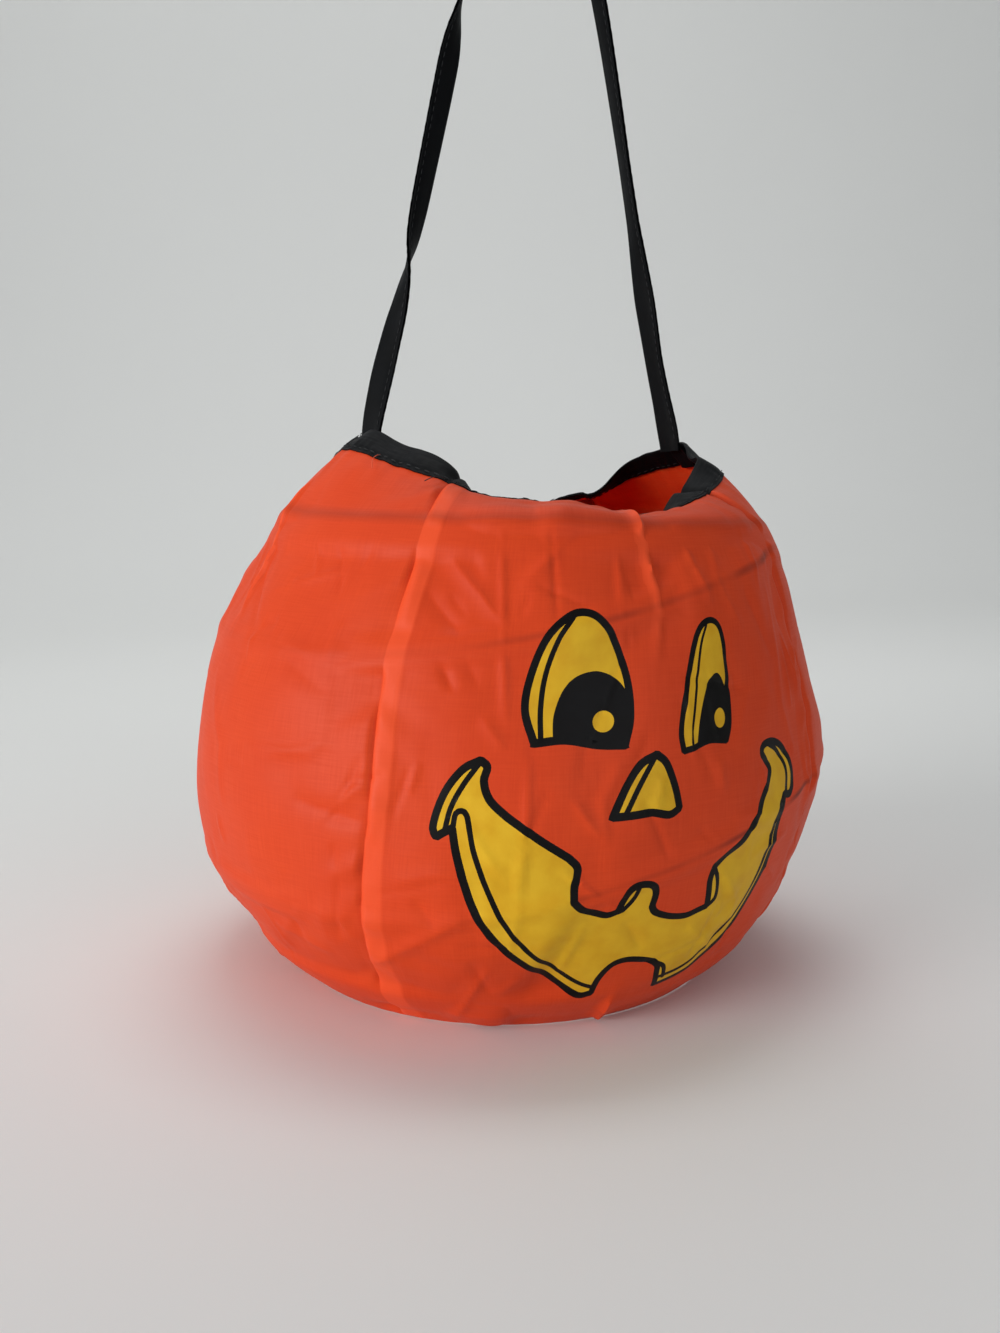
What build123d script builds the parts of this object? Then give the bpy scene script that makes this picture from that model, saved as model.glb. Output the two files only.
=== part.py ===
from build123d import *
import os
from math import acos, asin, atan2, ceil, cos, degrees, hypot, pi, radians, sin, sqrt

# A pop-up cloth pail: four sewn gores on a flat base, held open by one spiral spring wire,
# with a taped saddle-shaped mouth and a carry strap across it.
# Frame: +Z up, the base rests on Z = 0, the decorated gore faces -Y, the strap ends lie at +X and -X.
# Lengths are in millimetres and angles in degrees. A longitude is 0 at the front and grows towards +X.

# Cloth body
cloth_thickness = 0.6
base_radius = 80.0
belly_radius = 120.0
belly_height = 86.5
shoulder_radius = 96.0
shoulder_height = 170.0
mouth_radius = 65.0
mouth_dip_rise = 2.0
mouth_peak_rise = 29.0
crown_dip_bulge = 6.0
crown_peak_bulge = 1.5
full_turn = 360.0
gore_longitudes = {"front_panel": 0.0, "right_panel": 90.0, "back_panel": 180.0, "left_panel": 270.0}
gore_angle = full_turn / len(gore_longitudes)
section_angle = 11.25

# Mouth binding: tape folded over the cloth edge, its two ends butted at the back
tape_thickness = 0.7
tape_clearance = 0.15
binding_depth = 9.0
binding_join_gap = 0.5

# Carry strap, with its two sewn ends behind the binding
strap_width = 9.0
strap_thickness = 1.2
strap_rise = 262.0
strap_bend_radius = 8.0
strap_end_length = 11.0
strap_seat_clearance = 0.3
strap_hinge_gap = 0.8
strap_side_angle = 90.0

# Spring wire: a top ring, a spiral down the belly and a bottom ring, in one length
wire_diameter = 1.6
wire_to_cloth = 1.1
wire_base_gap = 8.0
strand_gap = 0.7
spiral_start_angle = 180.0
spiral_angle = 810.0
spiral_ease_share = 0.3
saddle_rise = 14.6
saddle_high_angle = 50.0
saddle_ease_angle = 75.0
ring_overlap_angle = 14.0
ring_spans = 4
spiral_spans = 18
samples_per_arc = 40
tangent_step_angle = 1.0

# Crimp sleeves on the wire's two ends
sleeve_length = 16.0
sleeve_wall = 0.5
sleeve_clearance = 0.15

# Keeper loops, which hold the wire to the seams
keeper_length = 8.0
keeper_wall = 0.45
keeper_clearance = 0.15

wire_radius = wire_diameter / 2
wire_inset = cloth_thickness + wire_to_cloth + wire_radius


def around(longitude, radius, height):
    """Point at a longitude, a distance from the axis and a height."""
    turn = radians(longitude)
    return Vector(radius * sin(turn), -radius * cos(turn), height)


# Meridian of the body: two arcs that meet upright on the belly's widest line, one down to the base and one
# up to the shoulder. A meridian point is a distance from the axis and a height.
def upright_arc_radius(inward, away):
    """Radius of the arc that leaves the widest line upright and ends this far inward and away from there."""
    return (inward**2 + away**2) / (2 * inward)


lower_arc_radius = upright_arc_radius(belly_radius - base_radius, belly_height - cloth_thickness)
upper_arc_radius = upright_arc_radius(belly_radius - shoulder_radius, shoulder_height - belly_height)


def body_arc(height):
    """Centre and radius of the body's arc at a height."""
    radius = upper_arc_radius if height > belly_height else lower_arc_radius
    return Vector(belly_radius - radius, belly_height), radius


def body_radius(height, inset):
    """Distance from the axis to the body's meridian, inset from the outside, below the shoulder."""
    centre, radius = body_arc(height)
    return centre.X + sqrt((radius - inset) ** 2 - (height - belly_height) ** 2)


def body_arc_edge(low_height, high_height, inset):
    """Three points of one body arc, inset from the outside, between two heights."""
    centre, radius = body_arc((low_height + high_height) / 2)
    heights = (low_height, high_height)
    low_angle, high_angle = [asin((height - belly_height) / (radius - inset)) for height in heights]
    angles = (low_angle, (low_angle + high_angle) / 2, high_angle)
    return [centre + Vector(cos(angle), sin(angle)) * (radius - inset) for angle in angles]


shoulder = Vector(shoulder_radius, shoulder_height)


def crown_arc(longitude):
    """Centre, radius and edge angle of the arc that leads from the shoulder in to the mouth."""
    peak_share = sin(radians(longitude)) ** 2
    rise = mouth_dip_rise + (mouth_peak_rise - mouth_dip_rise) * peak_share
    bulge = crown_dip_bulge + (crown_peak_bulge - crown_dip_bulge) * peak_share
    edge = Vector(mouth_radius, shoulder_height + rise)
    chord = edge - shoulder
    radius = chord.length**2 / (8 * bulge) + bulge / 2
    inward = Vector(chord.Y, -chord.X) / -chord.length
    centre = (shoulder + edge) / 2 + inward * (radius - bulge)
    from_centre = edge - centre
    return centre, radius, atan2(from_centre.Y, from_centre.X)


def on_crown(arc, inset, travel):
    """Point beside the crown arc: inset from the outside, and a travel past the cloth's edge."""
    centre, radius, edge_angle = arc
    angle = edge_angle + travel / radius
    return centre + Vector(cos(angle), sin(angle)) * (radius - inset)


def shoulder_corner(arc, inset):
    """Where the body's inset upper arc meets the inset crown arc."""
    centre, radius, edge_angle = arc
    body_centre, body_reach = body_arc(shoulder_height)
    apart = centre - body_centre
    along = ((body_reach - inset) ** 2 - (radius - inset) ** 2 + apart.length**2) / (2 * apart.length)
    across = sqrt((body_reach - inset) ** 2 - along**2)
    run = apart.normalized()
    side = Vector(-run.Y, run.X)
    corners = [body_centre + run * along + side * reach for reach in (across, -across)]
    return min(corners, key=lambda corner: (corner - shoulder).length)


def crown_midpoint(arc, inset, corner):
    """Point halfway along the inset crown arc, from the shoulder corner to the cloth's edge."""
    centre, radius, edge_angle = arc
    from_centre = corner - centre
    angle = (atan2(from_centre.Y, from_centre.X) + edge_angle) / 2
    return centre + Vector(cos(angle), sin(angle)) * (radius - inset)


def placed(longitude, point):
    """A meridian point, as distance from the axis and height, set at a longitude."""
    return around(longitude, point.X, point.Y)


def gore_section(longitude):
    """Closed outline of the cloth's thickness along one meridian, from the base to the mouth."""
    arc = crown_arc(longitude)
    edges = []
    for inset in (0.0, cloth_thickness):
        corner = shoulder_corner(arc, inset)
        lower = body_arc_edge(cloth_thickness, belly_height, inset)
        upper = body_arc_edge(belly_height, corner.Y, inset)
        crown = [corner, crown_midpoint(arc, inset, corner), on_crown(arc, inset, 0.0)]
        for points in (lower, upper, crown):
            edges.append(ThreePointArc(*[placed(longitude, point) for point in points]))
    outer_foot, outer_mouth, inner_foot, inner_mouth = edges[0], edges[2], edges[3], edges[5]
    edges += [Line(outer_mouth @ 1, inner_mouth @ 1), Line(inner_foot @ 0, outer_foot @ 0)]
    return Wire(edges)


def gore(middle_longitude):
    """One sewn cloth gore, lofted from seam to seam."""
    count = round(gore_angle / section_angle)
    start = middle_longitude - gore_angle / 2
    return Solid.make_loft([gore_section(start + step * gore_angle / count) for step in range(count + 1)])


def base_panel():
    """Flat cloth disc, on which the gores' lower edges are sewn."""
    return Solid.make_cylinder(base_radius, cloth_thickness)


def binding_section(longitude):
    """Closed outline of the tape's fold across one meridian."""
    arc = crown_arc(longitude)
    slot = (-tape_clearance, cloth_thickness + tape_clearance)
    skin = (slot[0] - tape_thickness, slot[1] + tape_thickness)
    slot_end = tape_clearance
    fold_end = slot_end + tape_thickness
    low = -binding_depth

    def leaf(inset, end):
        travels = (low, (low + end) / 2, end)
        return ThreePointArc(*[placed(longitude, on_crown(arc, inset, travel)) for travel in travels])

    outside, inside = leaf(skin[0], fold_end), leaf(skin[1], fold_end)
    slot_outside, slot_inside = leaf(slot[0], slot_end), leaf(slot[1], slot_end)
    joins = [
        Line(outside @ 1, inside @ 1),
        Line(inside @ 0, slot_inside @ 0),
        Line(slot_inside @ 1, slot_outside @ 1),
        Line(slot_outside @ 0, outside @ 0),
    ]
    return Wire([outside, inside, slot_inside, slot_outside, *joins])


def rim_binding():
    """Tape folded over the mouth's edge all the way round."""
    join_angle = degrees(binding_join_gap / mouth_radius)
    turn = full_turn - join_angle
    start = (join_angle - full_turn) / 2
    count = ceil(turn / section_angle)
    return Solid.make_loft([binding_section(start + step * turn / count) for step in range(count + 1)])


# Place of the strap's hinge: the middle of the sewn end's upper edge, level with the binding's fold
side_arc = crown_arc(strap_side_angle)
strap_outer_inset = cloth_thickness + tape_clearance + tape_thickness + strap_seat_clearance
strap_middle_inset = strap_outer_inset + strap_thickness / 2
fold_travel = tape_clearance + tape_thickness
hinge_point = on_crown(side_arc, strap_middle_inset, fold_travel)


def across_strap(profile):
    """A profile drawn in the XZ plane, given the strap's width along Y."""
    return extrude(Plane.XZ * profile, strap_width / 2, both=True)


def strap_end(side):
    """Sewn end of the strap behind the binding, on the +X side or the -X side."""
    insets = (strap_outer_inset, strap_outer_inset + strap_thickness)
    travels = (fold_travel - strap_end_length, fold_travel - strap_end_length / 2, fold_travel)
    arcs = [ThreePointArc(*[on_crown(side_arc, inset, travel) for travel in travels]) for inset in insets]
    outline = [*arcs, Line(arcs[0] @ 0, arcs[1] @ 0), Line(arcs[0] @ 1, arcs[1] @ 1)]
    tab = across_strap(make_face(outline))
    return tab if side > 0 else mirror(tab, Plane.YZ)


def carry_strap():
    """Free loop of the strap: two straight legs and a bend at the top, in the plane of its two ends."""
    bend = Vector(0, hinge_point.Y + strap_rise - strap_bend_radius)
    to_hinge = hinge_point - bend
    tangent_angle = atan2(to_hinge.Y, to_hinge.X) + acos(strap_bend_radius / to_hinge.length)
    bend_start = bend + Vector(cos(tangent_angle), sin(tangent_angle)) * strap_bend_radius
    foot = hinge_point + (bend_start - hinge_point).normalized() * strap_hinge_gap
    bend_top = bend + Vector(0, strap_bend_radius)
    left_foot, left_bend = Vector(-foot.X, foot.Y), Vector(-bend_start.X, bend_start.Y)
    right_leg, left_leg = Line(foot, bend_start), Line(left_bend, left_foot)
    path = Wire([right_leg, ThreePointArc(bend_start, bend_top, left_bend), left_leg])
    run = (bend_start - foot).normalized()
    edge = Vector(-run.Y, run.X) * (strap_thickness / 2)
    return across_strap(sweep(Line(foot - edge, foot + edge), path=path))


# Heights of the spring wire: each ring climbs by one strand in its turn, so its end passes over its start
strand_pitch = wire_diameter + strand_gap
ring_angle = full_turn + ring_overlap_angle
ring_climb = strand_pitch * ring_angle / full_turn
dip_arc = crown_arc(0.0)
spiral_top = shoulder_corner(dip_arc, wire_inset).Y - ring_climb
spiral_bottom = cloth_thickness + wire_base_gap + wire_radius + ring_climb


def saddle_share(turn):
    """Share of the saddle rise at a turn of the spiral: each loop is high on two sides, but for its ends."""
    half_wave = cos(radians(spiral_start_angle - turn - saddle_high_angle))
    from_end = min(turn, spiral_angle - turn, saddle_ease_angle)
    end_share = sin(pi / 2 * from_end / saddle_ease_angle) ** 2
    return half_wave**2 * end_share


def wire_height(turn):
    """Height of the wire's middle after a turn from the spiral's top, in degrees."""
    if turn <= 0:
        return spiral_top - strand_pitch * turn / full_turn
    if turn >= spiral_angle:
        return spiral_bottom - strand_pitch * (turn - spiral_angle) / full_turn
    share = turn / spiral_angle
    eased_share = share - spiral_ease_share * sin(2 * pi * share) / (2 * pi)
    return spiral_top - (spiral_top - spiral_bottom) * eased_share + saddle_rise * saddle_share(turn)


def wire_point(turn):
    """Middle of the wire, a steady distance inside the cloth."""
    height = wire_height(turn)
    return around(spiral_start_angle - turn, body_radius(height, wire_inset), height)


def wire_tangent(before, after):
    """Direction of the wire between two turns close to each other."""
    return (wire_point(after) - wire_point(before)).normalized()


def biarc(start, start_run, end, end_run):
    """Two arcs that meet at a tangent, from one point and direction to another."""
    across = end - start
    runs = start_run + end_run
    bend = 2 * (1 - start_run.dot(end_run))
    reach = (-across.dot(runs) + sqrt(across.dot(runs) ** 2 + bend * across.dot(across))) / bend
    meeting = (start + end + (start_run - end_run) * reach) / 2
    first = TangentArc(start, meeting, tangent=start_run)
    return [first, TangentArc(meeting, end, tangent=first % 1)]


def wire_path():
    """Arcs of the wire's middle line: the top ring, the spiral and the bottom ring."""
    stations = [(-ring_angle + span * ring_angle / ring_spans) for span in range(ring_spans)]
    stations += [span * spiral_angle / spiral_spans for span in range(spiral_spans + 1)]
    stations += [spiral_angle + (span + 1) * ring_angle / ring_spans for span in range(ring_spans)]
    points = [wire_point(turn) for turn in stations]
    runs = []
    for turn in stations:
        before = 0.0 if turn >= spiral_angle else tangent_step_angle
        after = 0.0 if turn <= 0 else tangent_step_angle
        runs.append(wire_tangent(turn - before, turn + after))
    arcs = []
    for index in range(len(stations) - 1):
        arcs += biarc(points[index], runs[index], points[index + 1], runs[index + 1])
    return arcs


wire_arcs = wire_path()
wire_samples = [
    (arc @ (step / samples_per_arc), arc % (step / samples_per_arc))
    for arc in wire_arcs
    for step in range(samples_per_arc)
]


def spring_wire():
    """The whole wire as one tube."""
    section = Plane(wire_arcs[0] @ 0, z_dir=wire_arcs[0] % 0) * Circle(wire_radius)
    return sweep(section, path=Wire(wire_arcs))


def longitude_of(point):
    """Longitude at which a point lies, from minus to plus half a turn."""
    return degrees(atan2(point.X, -point.Y))


def crimp_sleeve(end_index, inner_index):
    """Flattened sleeve round the wire's end and the strand that it lies beside."""
    ends = [wire_samples[end_index], wire_samples[inner_index]]
    middle = (ends[0][0] + ends[1][0]) / 2
    radius = hypot(middle.X, middle.Y)
    half_angle = degrees(sleeve_length / radius) / 2
    centre = longitude_of(middle)
    turns = (centre - half_angle, centre, centre + half_angle)
    path = ThreePointArc(*[around(turn, radius, middle.Z) for turn in turns])
    apart = ends[1][0] - ends[0][0]
    apart = apart.rotate(Axis.Z, -half_angle)
    start = Plane(path @ 0, x_dir=apart, z_dir=path % 0)
    bore = wire_diameter + 2 * sleeve_clearance
    outside = SlotCenterToCenter(apart.length, bore + 2 * sleeve_wall)
    inside = SlotCenterToCenter(apart.length, bore)
    return sweep(start * (outside - inside), path=path)


def nearest_sample(point, first, last):
    """Index of the wire sample between two indices that lies nearest to a point."""
    return min(range(first, last), key=lambda index: (wire_samples[index][0] - point).length)


def crimp_sleeves():
    """The two sleeves, each set at the middle of the length in which a ring overlaps its own end."""
    span_samples = 2 * samples_per_arc
    inside_end = round(ring_overlap_angle / 2 / (ring_angle / ring_spans) * span_samples)
    ring_samples = ring_spans * span_samples
    last = len(wire_samples) - 1
    first = ring_samples - span_samples
    top = nearest_sample(wire_samples[inside_end][0], first, first + 2 * span_samples)
    bottom_end = last - inside_end
    first = last - ring_samples - span_samples
    bottom = nearest_sample(wire_samples[bottom_end][0], first, first + 2 * span_samples)
    return {
        "wire_sleeve_top": crimp_sleeve(inside_end, top),
        "wire_sleeve_bottom": crimp_sleeve(bottom_end, bottom),
    }


def keeper(point, run):
    """Short sewn loop round the wire."""
    bore_radius = wire_radius + keeper_clearance
    start = Plane(point - run * (keeper_length / 2), z_dir=run)
    loop = Circle(bore_radius + keeper_wall) - Circle(bore_radius)
    return extrude(start * loop, keeper_length)


def past_seam(point, seam_longitude):
    """How far a point lies past a seam, in degrees, from minus to plus half a turn."""
    half_turn = full_turn / 2
    return (longitude_of(point) - seam_longitude + half_turn) % full_turn - half_turn


def seam_keepers(seam_longitude):
    """Keeper loops at each place where the wire crosses one seam."""
    loops = []
    for (point, run), (next_point, next_run) in zip(wire_samples, wire_samples[1:]):
        before, after = past_seam(point, seam_longitude), past_seam(next_point, seam_longitude)
        if before >= 0 > after and before - after < gore_angle:
            crossing_share = before / (before - after)
            loops.append(keeper(point + (next_point - point) * crossing_share, run))
    return Compound(loops)


def cloth_gap(point):
    """Gap between the cloth and the wire whose middle is at a point."""
    centre, radius = body_arc(point.Z)
    middle = Vector(hypot(point.X, point.Y), point.Z)
    return radius - cloth_thickness - (middle - centre).length - wire_radius


def report_wire():
    """Prints the wire's least gap to itself and its least and greatest gap to the cloth."""
    spacing = samples_per_arc * ring_spans
    least = min(
        (point - other).length
        for index, (point, run) in enumerate(wire_samples)
        for other, other_run in wire_samples[index + spacing :]
    )
    gaps = [cloth_gap(point) for point, run in wire_samples]
    print("wire: least gap to itself", round(least - wire_diameter, 2))
    print("wire: gap to the cloth from", round(min(gaps), 2), "to", round(max(gaps), 2))
    print("strap hinge at", round(hinge_point.X, 2), round(hinge_point.Y, 2))


parts = {name: gore(longitude) for name, longitude in gore_longitudes.items()}
parts["base_panel"] = base_panel()
parts["rim_binding"] = rim_binding()
parts["strap_end_right"] = strap_end(1)
parts["strap_end_left"] = strap_end(-1)
parts["carry_strap"] = carry_strap()
parts["spring_wire"] = spring_wire()
parts.update(crimp_sleeves())
seams = {
    "front_right": "front_panel",
    "back_right": "right_panel",
    "back_left": "back_panel",
    "front_left": "left_panel",
}
for name, panel_before in seams.items():
    parts["wire_keepers_" + name] = seam_keepers(gore_longitudes[panel_before] + gore_angle / 2)

os.makedirs("parts", exist_ok=True)
for name, shape in parts.items():
    export_step(shape, "parts/" + name + ".step")
report_wire()
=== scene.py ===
"""Looks of a pop-up cloth pail: thin orange cloth sewn from four gores round a spiral spring wire, with a
printed jack-o'-lantern face, a black bound mouth and a black carry strap."""

import math

import bpy
import numpy as np
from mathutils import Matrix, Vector
from mathutils.geometry import delaunay_2d_cdt


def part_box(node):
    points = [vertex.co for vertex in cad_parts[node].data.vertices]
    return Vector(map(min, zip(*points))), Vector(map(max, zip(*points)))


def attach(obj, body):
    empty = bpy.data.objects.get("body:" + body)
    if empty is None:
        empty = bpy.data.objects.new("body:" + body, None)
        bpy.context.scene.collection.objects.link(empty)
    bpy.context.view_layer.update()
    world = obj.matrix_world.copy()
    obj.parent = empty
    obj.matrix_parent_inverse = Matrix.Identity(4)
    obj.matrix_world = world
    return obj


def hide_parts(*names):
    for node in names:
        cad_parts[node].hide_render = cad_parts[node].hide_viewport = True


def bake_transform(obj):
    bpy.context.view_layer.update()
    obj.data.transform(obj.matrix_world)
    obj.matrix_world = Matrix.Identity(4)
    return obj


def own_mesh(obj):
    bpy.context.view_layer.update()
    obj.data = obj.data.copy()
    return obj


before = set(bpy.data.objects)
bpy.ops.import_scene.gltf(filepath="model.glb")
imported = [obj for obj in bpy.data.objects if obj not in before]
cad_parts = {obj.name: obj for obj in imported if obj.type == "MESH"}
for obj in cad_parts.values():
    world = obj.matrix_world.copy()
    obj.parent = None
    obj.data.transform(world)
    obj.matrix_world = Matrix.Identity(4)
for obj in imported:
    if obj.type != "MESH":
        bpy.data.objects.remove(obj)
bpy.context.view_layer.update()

MM = 0.001
FULL_TURN = 2 * math.pi
QUARTER_TURN = math.pi / 2

# Body of the pail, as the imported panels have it. Longitudes are in degrees, 0 at the front and growing
# towards +X.
base_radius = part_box("base_panel")[1].x
base_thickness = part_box("base_panel")[1].z
belly_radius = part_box("right_panel")[1].x
belly_height = 86.5 * MM
shoulder_radius = 96 * MM
shoulder_height = 170 * MM
mouth_radius = 65 * MM
mouth_dip_rise = 2 * MM
mouth_peak_rise = 29 * MM
crown_dip_bulge = 6 * MM
crown_peak_bulge = 1.5 * MM
shoulder_softness = 5 * MM
gore_longitudes = {"front": 0, "right": 90, "back": 180, "left": 270}
gore_angle = 90
front_right_seam, front_left_seam = 45, 315
seam_longitudes = (front_right_seam, 135, 225, front_left_seam)
cloth_thickness = 0.4 * MM
cloth_spacing = 1.2 * MM
# Length of the crown on the flat cloth, and the cloth's reach past the shoulder with some room
crown_length = 38 * MM
crown_room = 45 * MM
belly_degree = belly_radius * math.pi / 180

# The soft body leans a little to one side, as it hangs from its strap
lean_reach = 9 * MM
lean_azimuth = -22.9
lean_low = 80 * MM
lean_high = 200 * MM
lean_tilt = 0.03
# Most that a place seen on the hanging body may lie to the side, as a share of the radius
side_limit = 0.97

# It also hangs: its shoulders are drawn in and its foot is let out, by height, in millimetres
hang_heights = (0, 8, 20, 32, 44, 56, 72, 86, 97, 109, 120, 132, 143, 170, 178, 188, 196)
hang_changes = (0, 1.5, 2.8, 3.0, 2.8, 1.8, 0.6, 0.2, -1.0, -2.0, -2.9, -4.2, -4.7, -5.0, -4.6, -2.2, 0)
hang_softness = 5

# Spring wire, as packed
wire_radius = 0.8 * MM
ring_climb = 2.39 * MM
spiral_turns = 2.25
spiral_ease_share = 0.3
spiral_samples = 600
saddle_rise = 14.6 * MM
saddle_high_angle = 50
saddle_ease_turns = 75 / 360
saddle_passes = 3
wire_low, wire_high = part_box("spring_wire")
spiral_top = wire_high.z - wire_radius - ring_climb
spiral_bottom = wire_low.z + wire_radius + ring_climb

# Mouth binding and strap
tape_thickness = 0.5 * MM
binding_depth = 11.5 * MM
binding_inside_depth = 10 * MM
binding_lift = 0.5 * MM
strap_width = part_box("carry_strap")[1].y * 2
strap_bend_radius = 8 * MM
strap_longitudes = {"right": 90, "left": -90}
# Height of the strap's hinge at its sewn feet, and its reach from the axis
hinge_height = 197.55 * MM
hinge_out = 62.97 * MM
strap_half_thickness = 0.6 * MM
strap_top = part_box("carry_strap")[1].z - strap_half_thickness
ply_gap = 0.34 * MM


# Small helpers


def linear(hex_colour):
    """Linear colour of an sRGB hex value."""
    channels = [int(hex_colour[start : start + 2], 16) / 255 for start in (1, 3, 5)]
    return (*[c / 12.92 if c <= 0.04045 else ((c + 0.055) / 1.055) ** 2.4 for c in channels], 1.0)


def smoothstep(low, high, value):
    """0 below low, 1 above high and smooth between."""
    share = np.clip((value - low) / (high - low), 0, 1)
    return share * share * (3 - 2 * share)


def bump_at(distance, width, power=2):
    """1 at a distance of 0, falling to nothing past a width."""
    return np.exp(-((distance / width) ** power))


def unit(vectors):
    """Vectors of length 1."""
    return vectors / np.linalg.norm(vectors, axis=-1, keepdims=True)


def around(longitude):
    """Longitude from -180 to 180 degrees."""
    return (longitude + 180) % 360 - 180


def wavering(travel, wave, number):
    """Smooth random wave from -1 to 1 along the cloth. The wave gives the length of one knot, the count of
    knots and a first seed, to which the number is added."""
    knot_length, knots, seed = wave
    heights = np.random.default_rng(seed + number).uniform(-1, 1, knots + 2)
    place = np.clip(travel / knot_length, 0, knots)
    low = np.floor(place).astype(int)
    share = smoothstep(0, 1, place - low)
    return heights[low] * (1 - share) + heights[low + 1] * share


# Shape of the body


def upright_arc_radius(inward, away):
    """Radius of the arc that leaves the widest line upright and ends this far inward and away from there."""
    return (inward**2 + away**2) / (2 * inward)


lower_arc = upright_arc_radius(belly_radius - base_radius, belly_height - base_thickness)
upper_arc = upright_arc_radius(belly_radius - shoulder_radius, shoulder_height - belly_height)
lower_run = math.asin((belly_height - base_thickness) / lower_arc) * lower_arc
body_run = lower_run + math.asin((shoulder_height - belly_height) / upper_arc) * upper_arc


def crown_arc(longitude):
    """Centre, radius, start angle and end angle of the arc from the shoulder in to the mouth."""
    peak_share = np.sin(np.radians(longitude)) ** 2
    rise = mouth_dip_rise + (mouth_peak_rise - mouth_dip_rise) * peak_share
    bulge = crown_dip_bulge + (crown_peak_bulge - crown_dip_bulge) * peak_share
    run = mouth_radius - shoulder_radius
    chord = np.hypot(run, rise)
    radius = chord**2 / (8 * bulge) + bulge / 2
    centre_out = (mouth_radius + shoulder_radius) / 2 - rise / chord * (radius - bulge)
    centre_up = shoulder_height + rise / 2 + run / chord * (radius - bulge)
    start = np.arctan2(shoulder_height - centre_up, shoulder_radius - centre_out)
    end = np.arctan2(shoulder_height + rise - centre_up, mouth_radius - centre_out)
    return centre_out, centre_up, radius, start, end


def mouth_travel(longitude):
    """Distance along the cloth from the base edge to the mouth edge."""
    _, _, radius, start, end = crown_arc(longitude)
    return body_run + radius * (end - start)


def travel_at(height):
    """Distance along the cloth from the base edge to a height below the shoulder."""
    height = np.asarray(height, float)
    arc = np.where(height < belly_height, lower_arc, upper_arc)
    return lower_run + arc * np.arcsin((height - belly_height) / arc)


def plain_meridian(longitude, travel):
    """Distance from the axis and height of the plain body at a longitude and a distance along the cloth."""
    arc = np.where(travel < lower_run, lower_arc, upper_arc)
    turn = (travel - lower_run) / arc
    centre_out, centre_up, radius, start, _ = crown_arc(longitude)
    crown_turn = start + (travel - body_run) / radius
    over = travel > body_run
    out = np.where(over, centre_out + radius * np.cos(crown_turn), belly_radius - arc + arc * np.cos(turn))
    up = np.where(over, centre_up + radius * np.sin(crown_turn), belly_height + arc * np.sin(turn))
    return out, up


def meridian(longitude, travel):
    """The plain body with its shoulder rounded over the wire's top ring."""
    weights = (1, 4, 6, 4, 1)
    taps = [plain_meridian(longitude, travel + (step - 2) / 2 * shoulder_softness) for step in range(5)]
    return [sum(w * tap[axis] for w, tap in zip(weights, taps)) / sum(weights) for axis in (0, 1)]


def on_body(longitude, travel):
    """Points of the plain body."""
    out, up = meridian(longitude, travel)
    turn = np.radians(longitude)
    return np.stack([out * np.sin(turn), -out * np.cos(turn), up], axis=-1)


def hang_keep(height):
    """Share of its distance from the axis that a place keeps as the body hangs."""
    arc = np.where(height < belly_height, lower_arc, upper_arc)
    away = np.clip(height, 0, shoulder_height) - belly_height
    radius = belly_radius - arc + np.sqrt(arc**2 - away**2)
    steps = hang_softness * np.arange(-2, 3)
    change = sum(np.interp(height / MM + step, hang_heights, hang_changes) for step in steps) / len(steps)
    return 1 + change * MM / radius


def hung(points):
    """Points moved with the hang and the lean of the soft body."""
    turn = math.radians(lean_azimuth)
    height = points[..., 2]
    share = smoothstep(lean_low, lean_high, height)
    moved = points * np.stack([hang_keep(height)] * 2 + [np.ones(height.shape)], axis=-1)
    moved = moved + share[..., None] * np.array([math.cos(turn), math.sin(turn), 0]) * lean_reach
    near_mouth = share * (1 - smoothstep(hinge_height, strap_top, height))
    moved[..., 2] -= near_mouth * lean_tilt * points[..., 0]
    return moved


def upright_longitude(longitude, height):
    """Longitude on the upright body of a place seen on the hanging body."""
    radius = float(meridian(0.0, travel_at(height))[0])
    aside = lean_reach * float(smoothstep(lean_low, lean_high, height))
    seen = math.sin(math.radians(longitude - lean_azimuth)) * radius
    share = (seen - aside) / (radius * float(hang_keep(height)))
    return lean_azimuth + math.degrees(math.asin(max(-side_limit, min(side_limit, share))))


def on_flat(points):
    """Places at a longitude and a height in millimetres, as distances across and along the cloth."""
    return [(longitude * belly_degree, float(travel_at(height * MM))) for longitude, height in points]


def on_gore(points):
    """The same for places seen on the hanging body."""
    return on_flat([(upright_longitude(longitude, height * MM), height) for longitude, height in points])


# Spring wire under the cloth


spiral_shares = np.linspace(0, 1, spiral_samples)
spiral_drop = spiral_shares - spiral_ease_share * np.sin(FULL_TURN * spiral_shares) / FULL_TURN
spiral_heights = spiral_top - (spiral_top - spiral_bottom) * spiral_drop
spiral_slope = np.gradient(-spiral_heights, spiral_shares * spiral_turns)


def turns_at(height):
    """Turns that the wire has made where it comes down to a height."""
    return np.interp(-height, -spiral_heights, spiral_shares) * spiral_turns


def wire_turns(longitude, height):
    """Turns between a place on the cloth and the spiral wire: a whole number where the wire lies. Each loop
    of the wire is a shallow saddle, but for its ends."""
    saddle = saddle_rise * np.cos(np.radians(longitude - saddle_high_angle)) ** 2
    turns = turns_at(height)
    for _ in range(saddle_passes):
        from_end = np.minimum(turns, spiral_turns - turns) / saddle_ease_turns
        eased = np.sin(QUARTER_TURN * np.clip(from_end, 0, 1)) ** 2
        turns = turns_at(height - saddle * eased)
    return turns - (180 - longitude) / 360


def wire_pitch(height):
    """Height that the wire loses in one turn."""
    return np.interp(-height, -spiral_heights, spiral_slope)


# Folds, tucks and seams of the cloth


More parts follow.
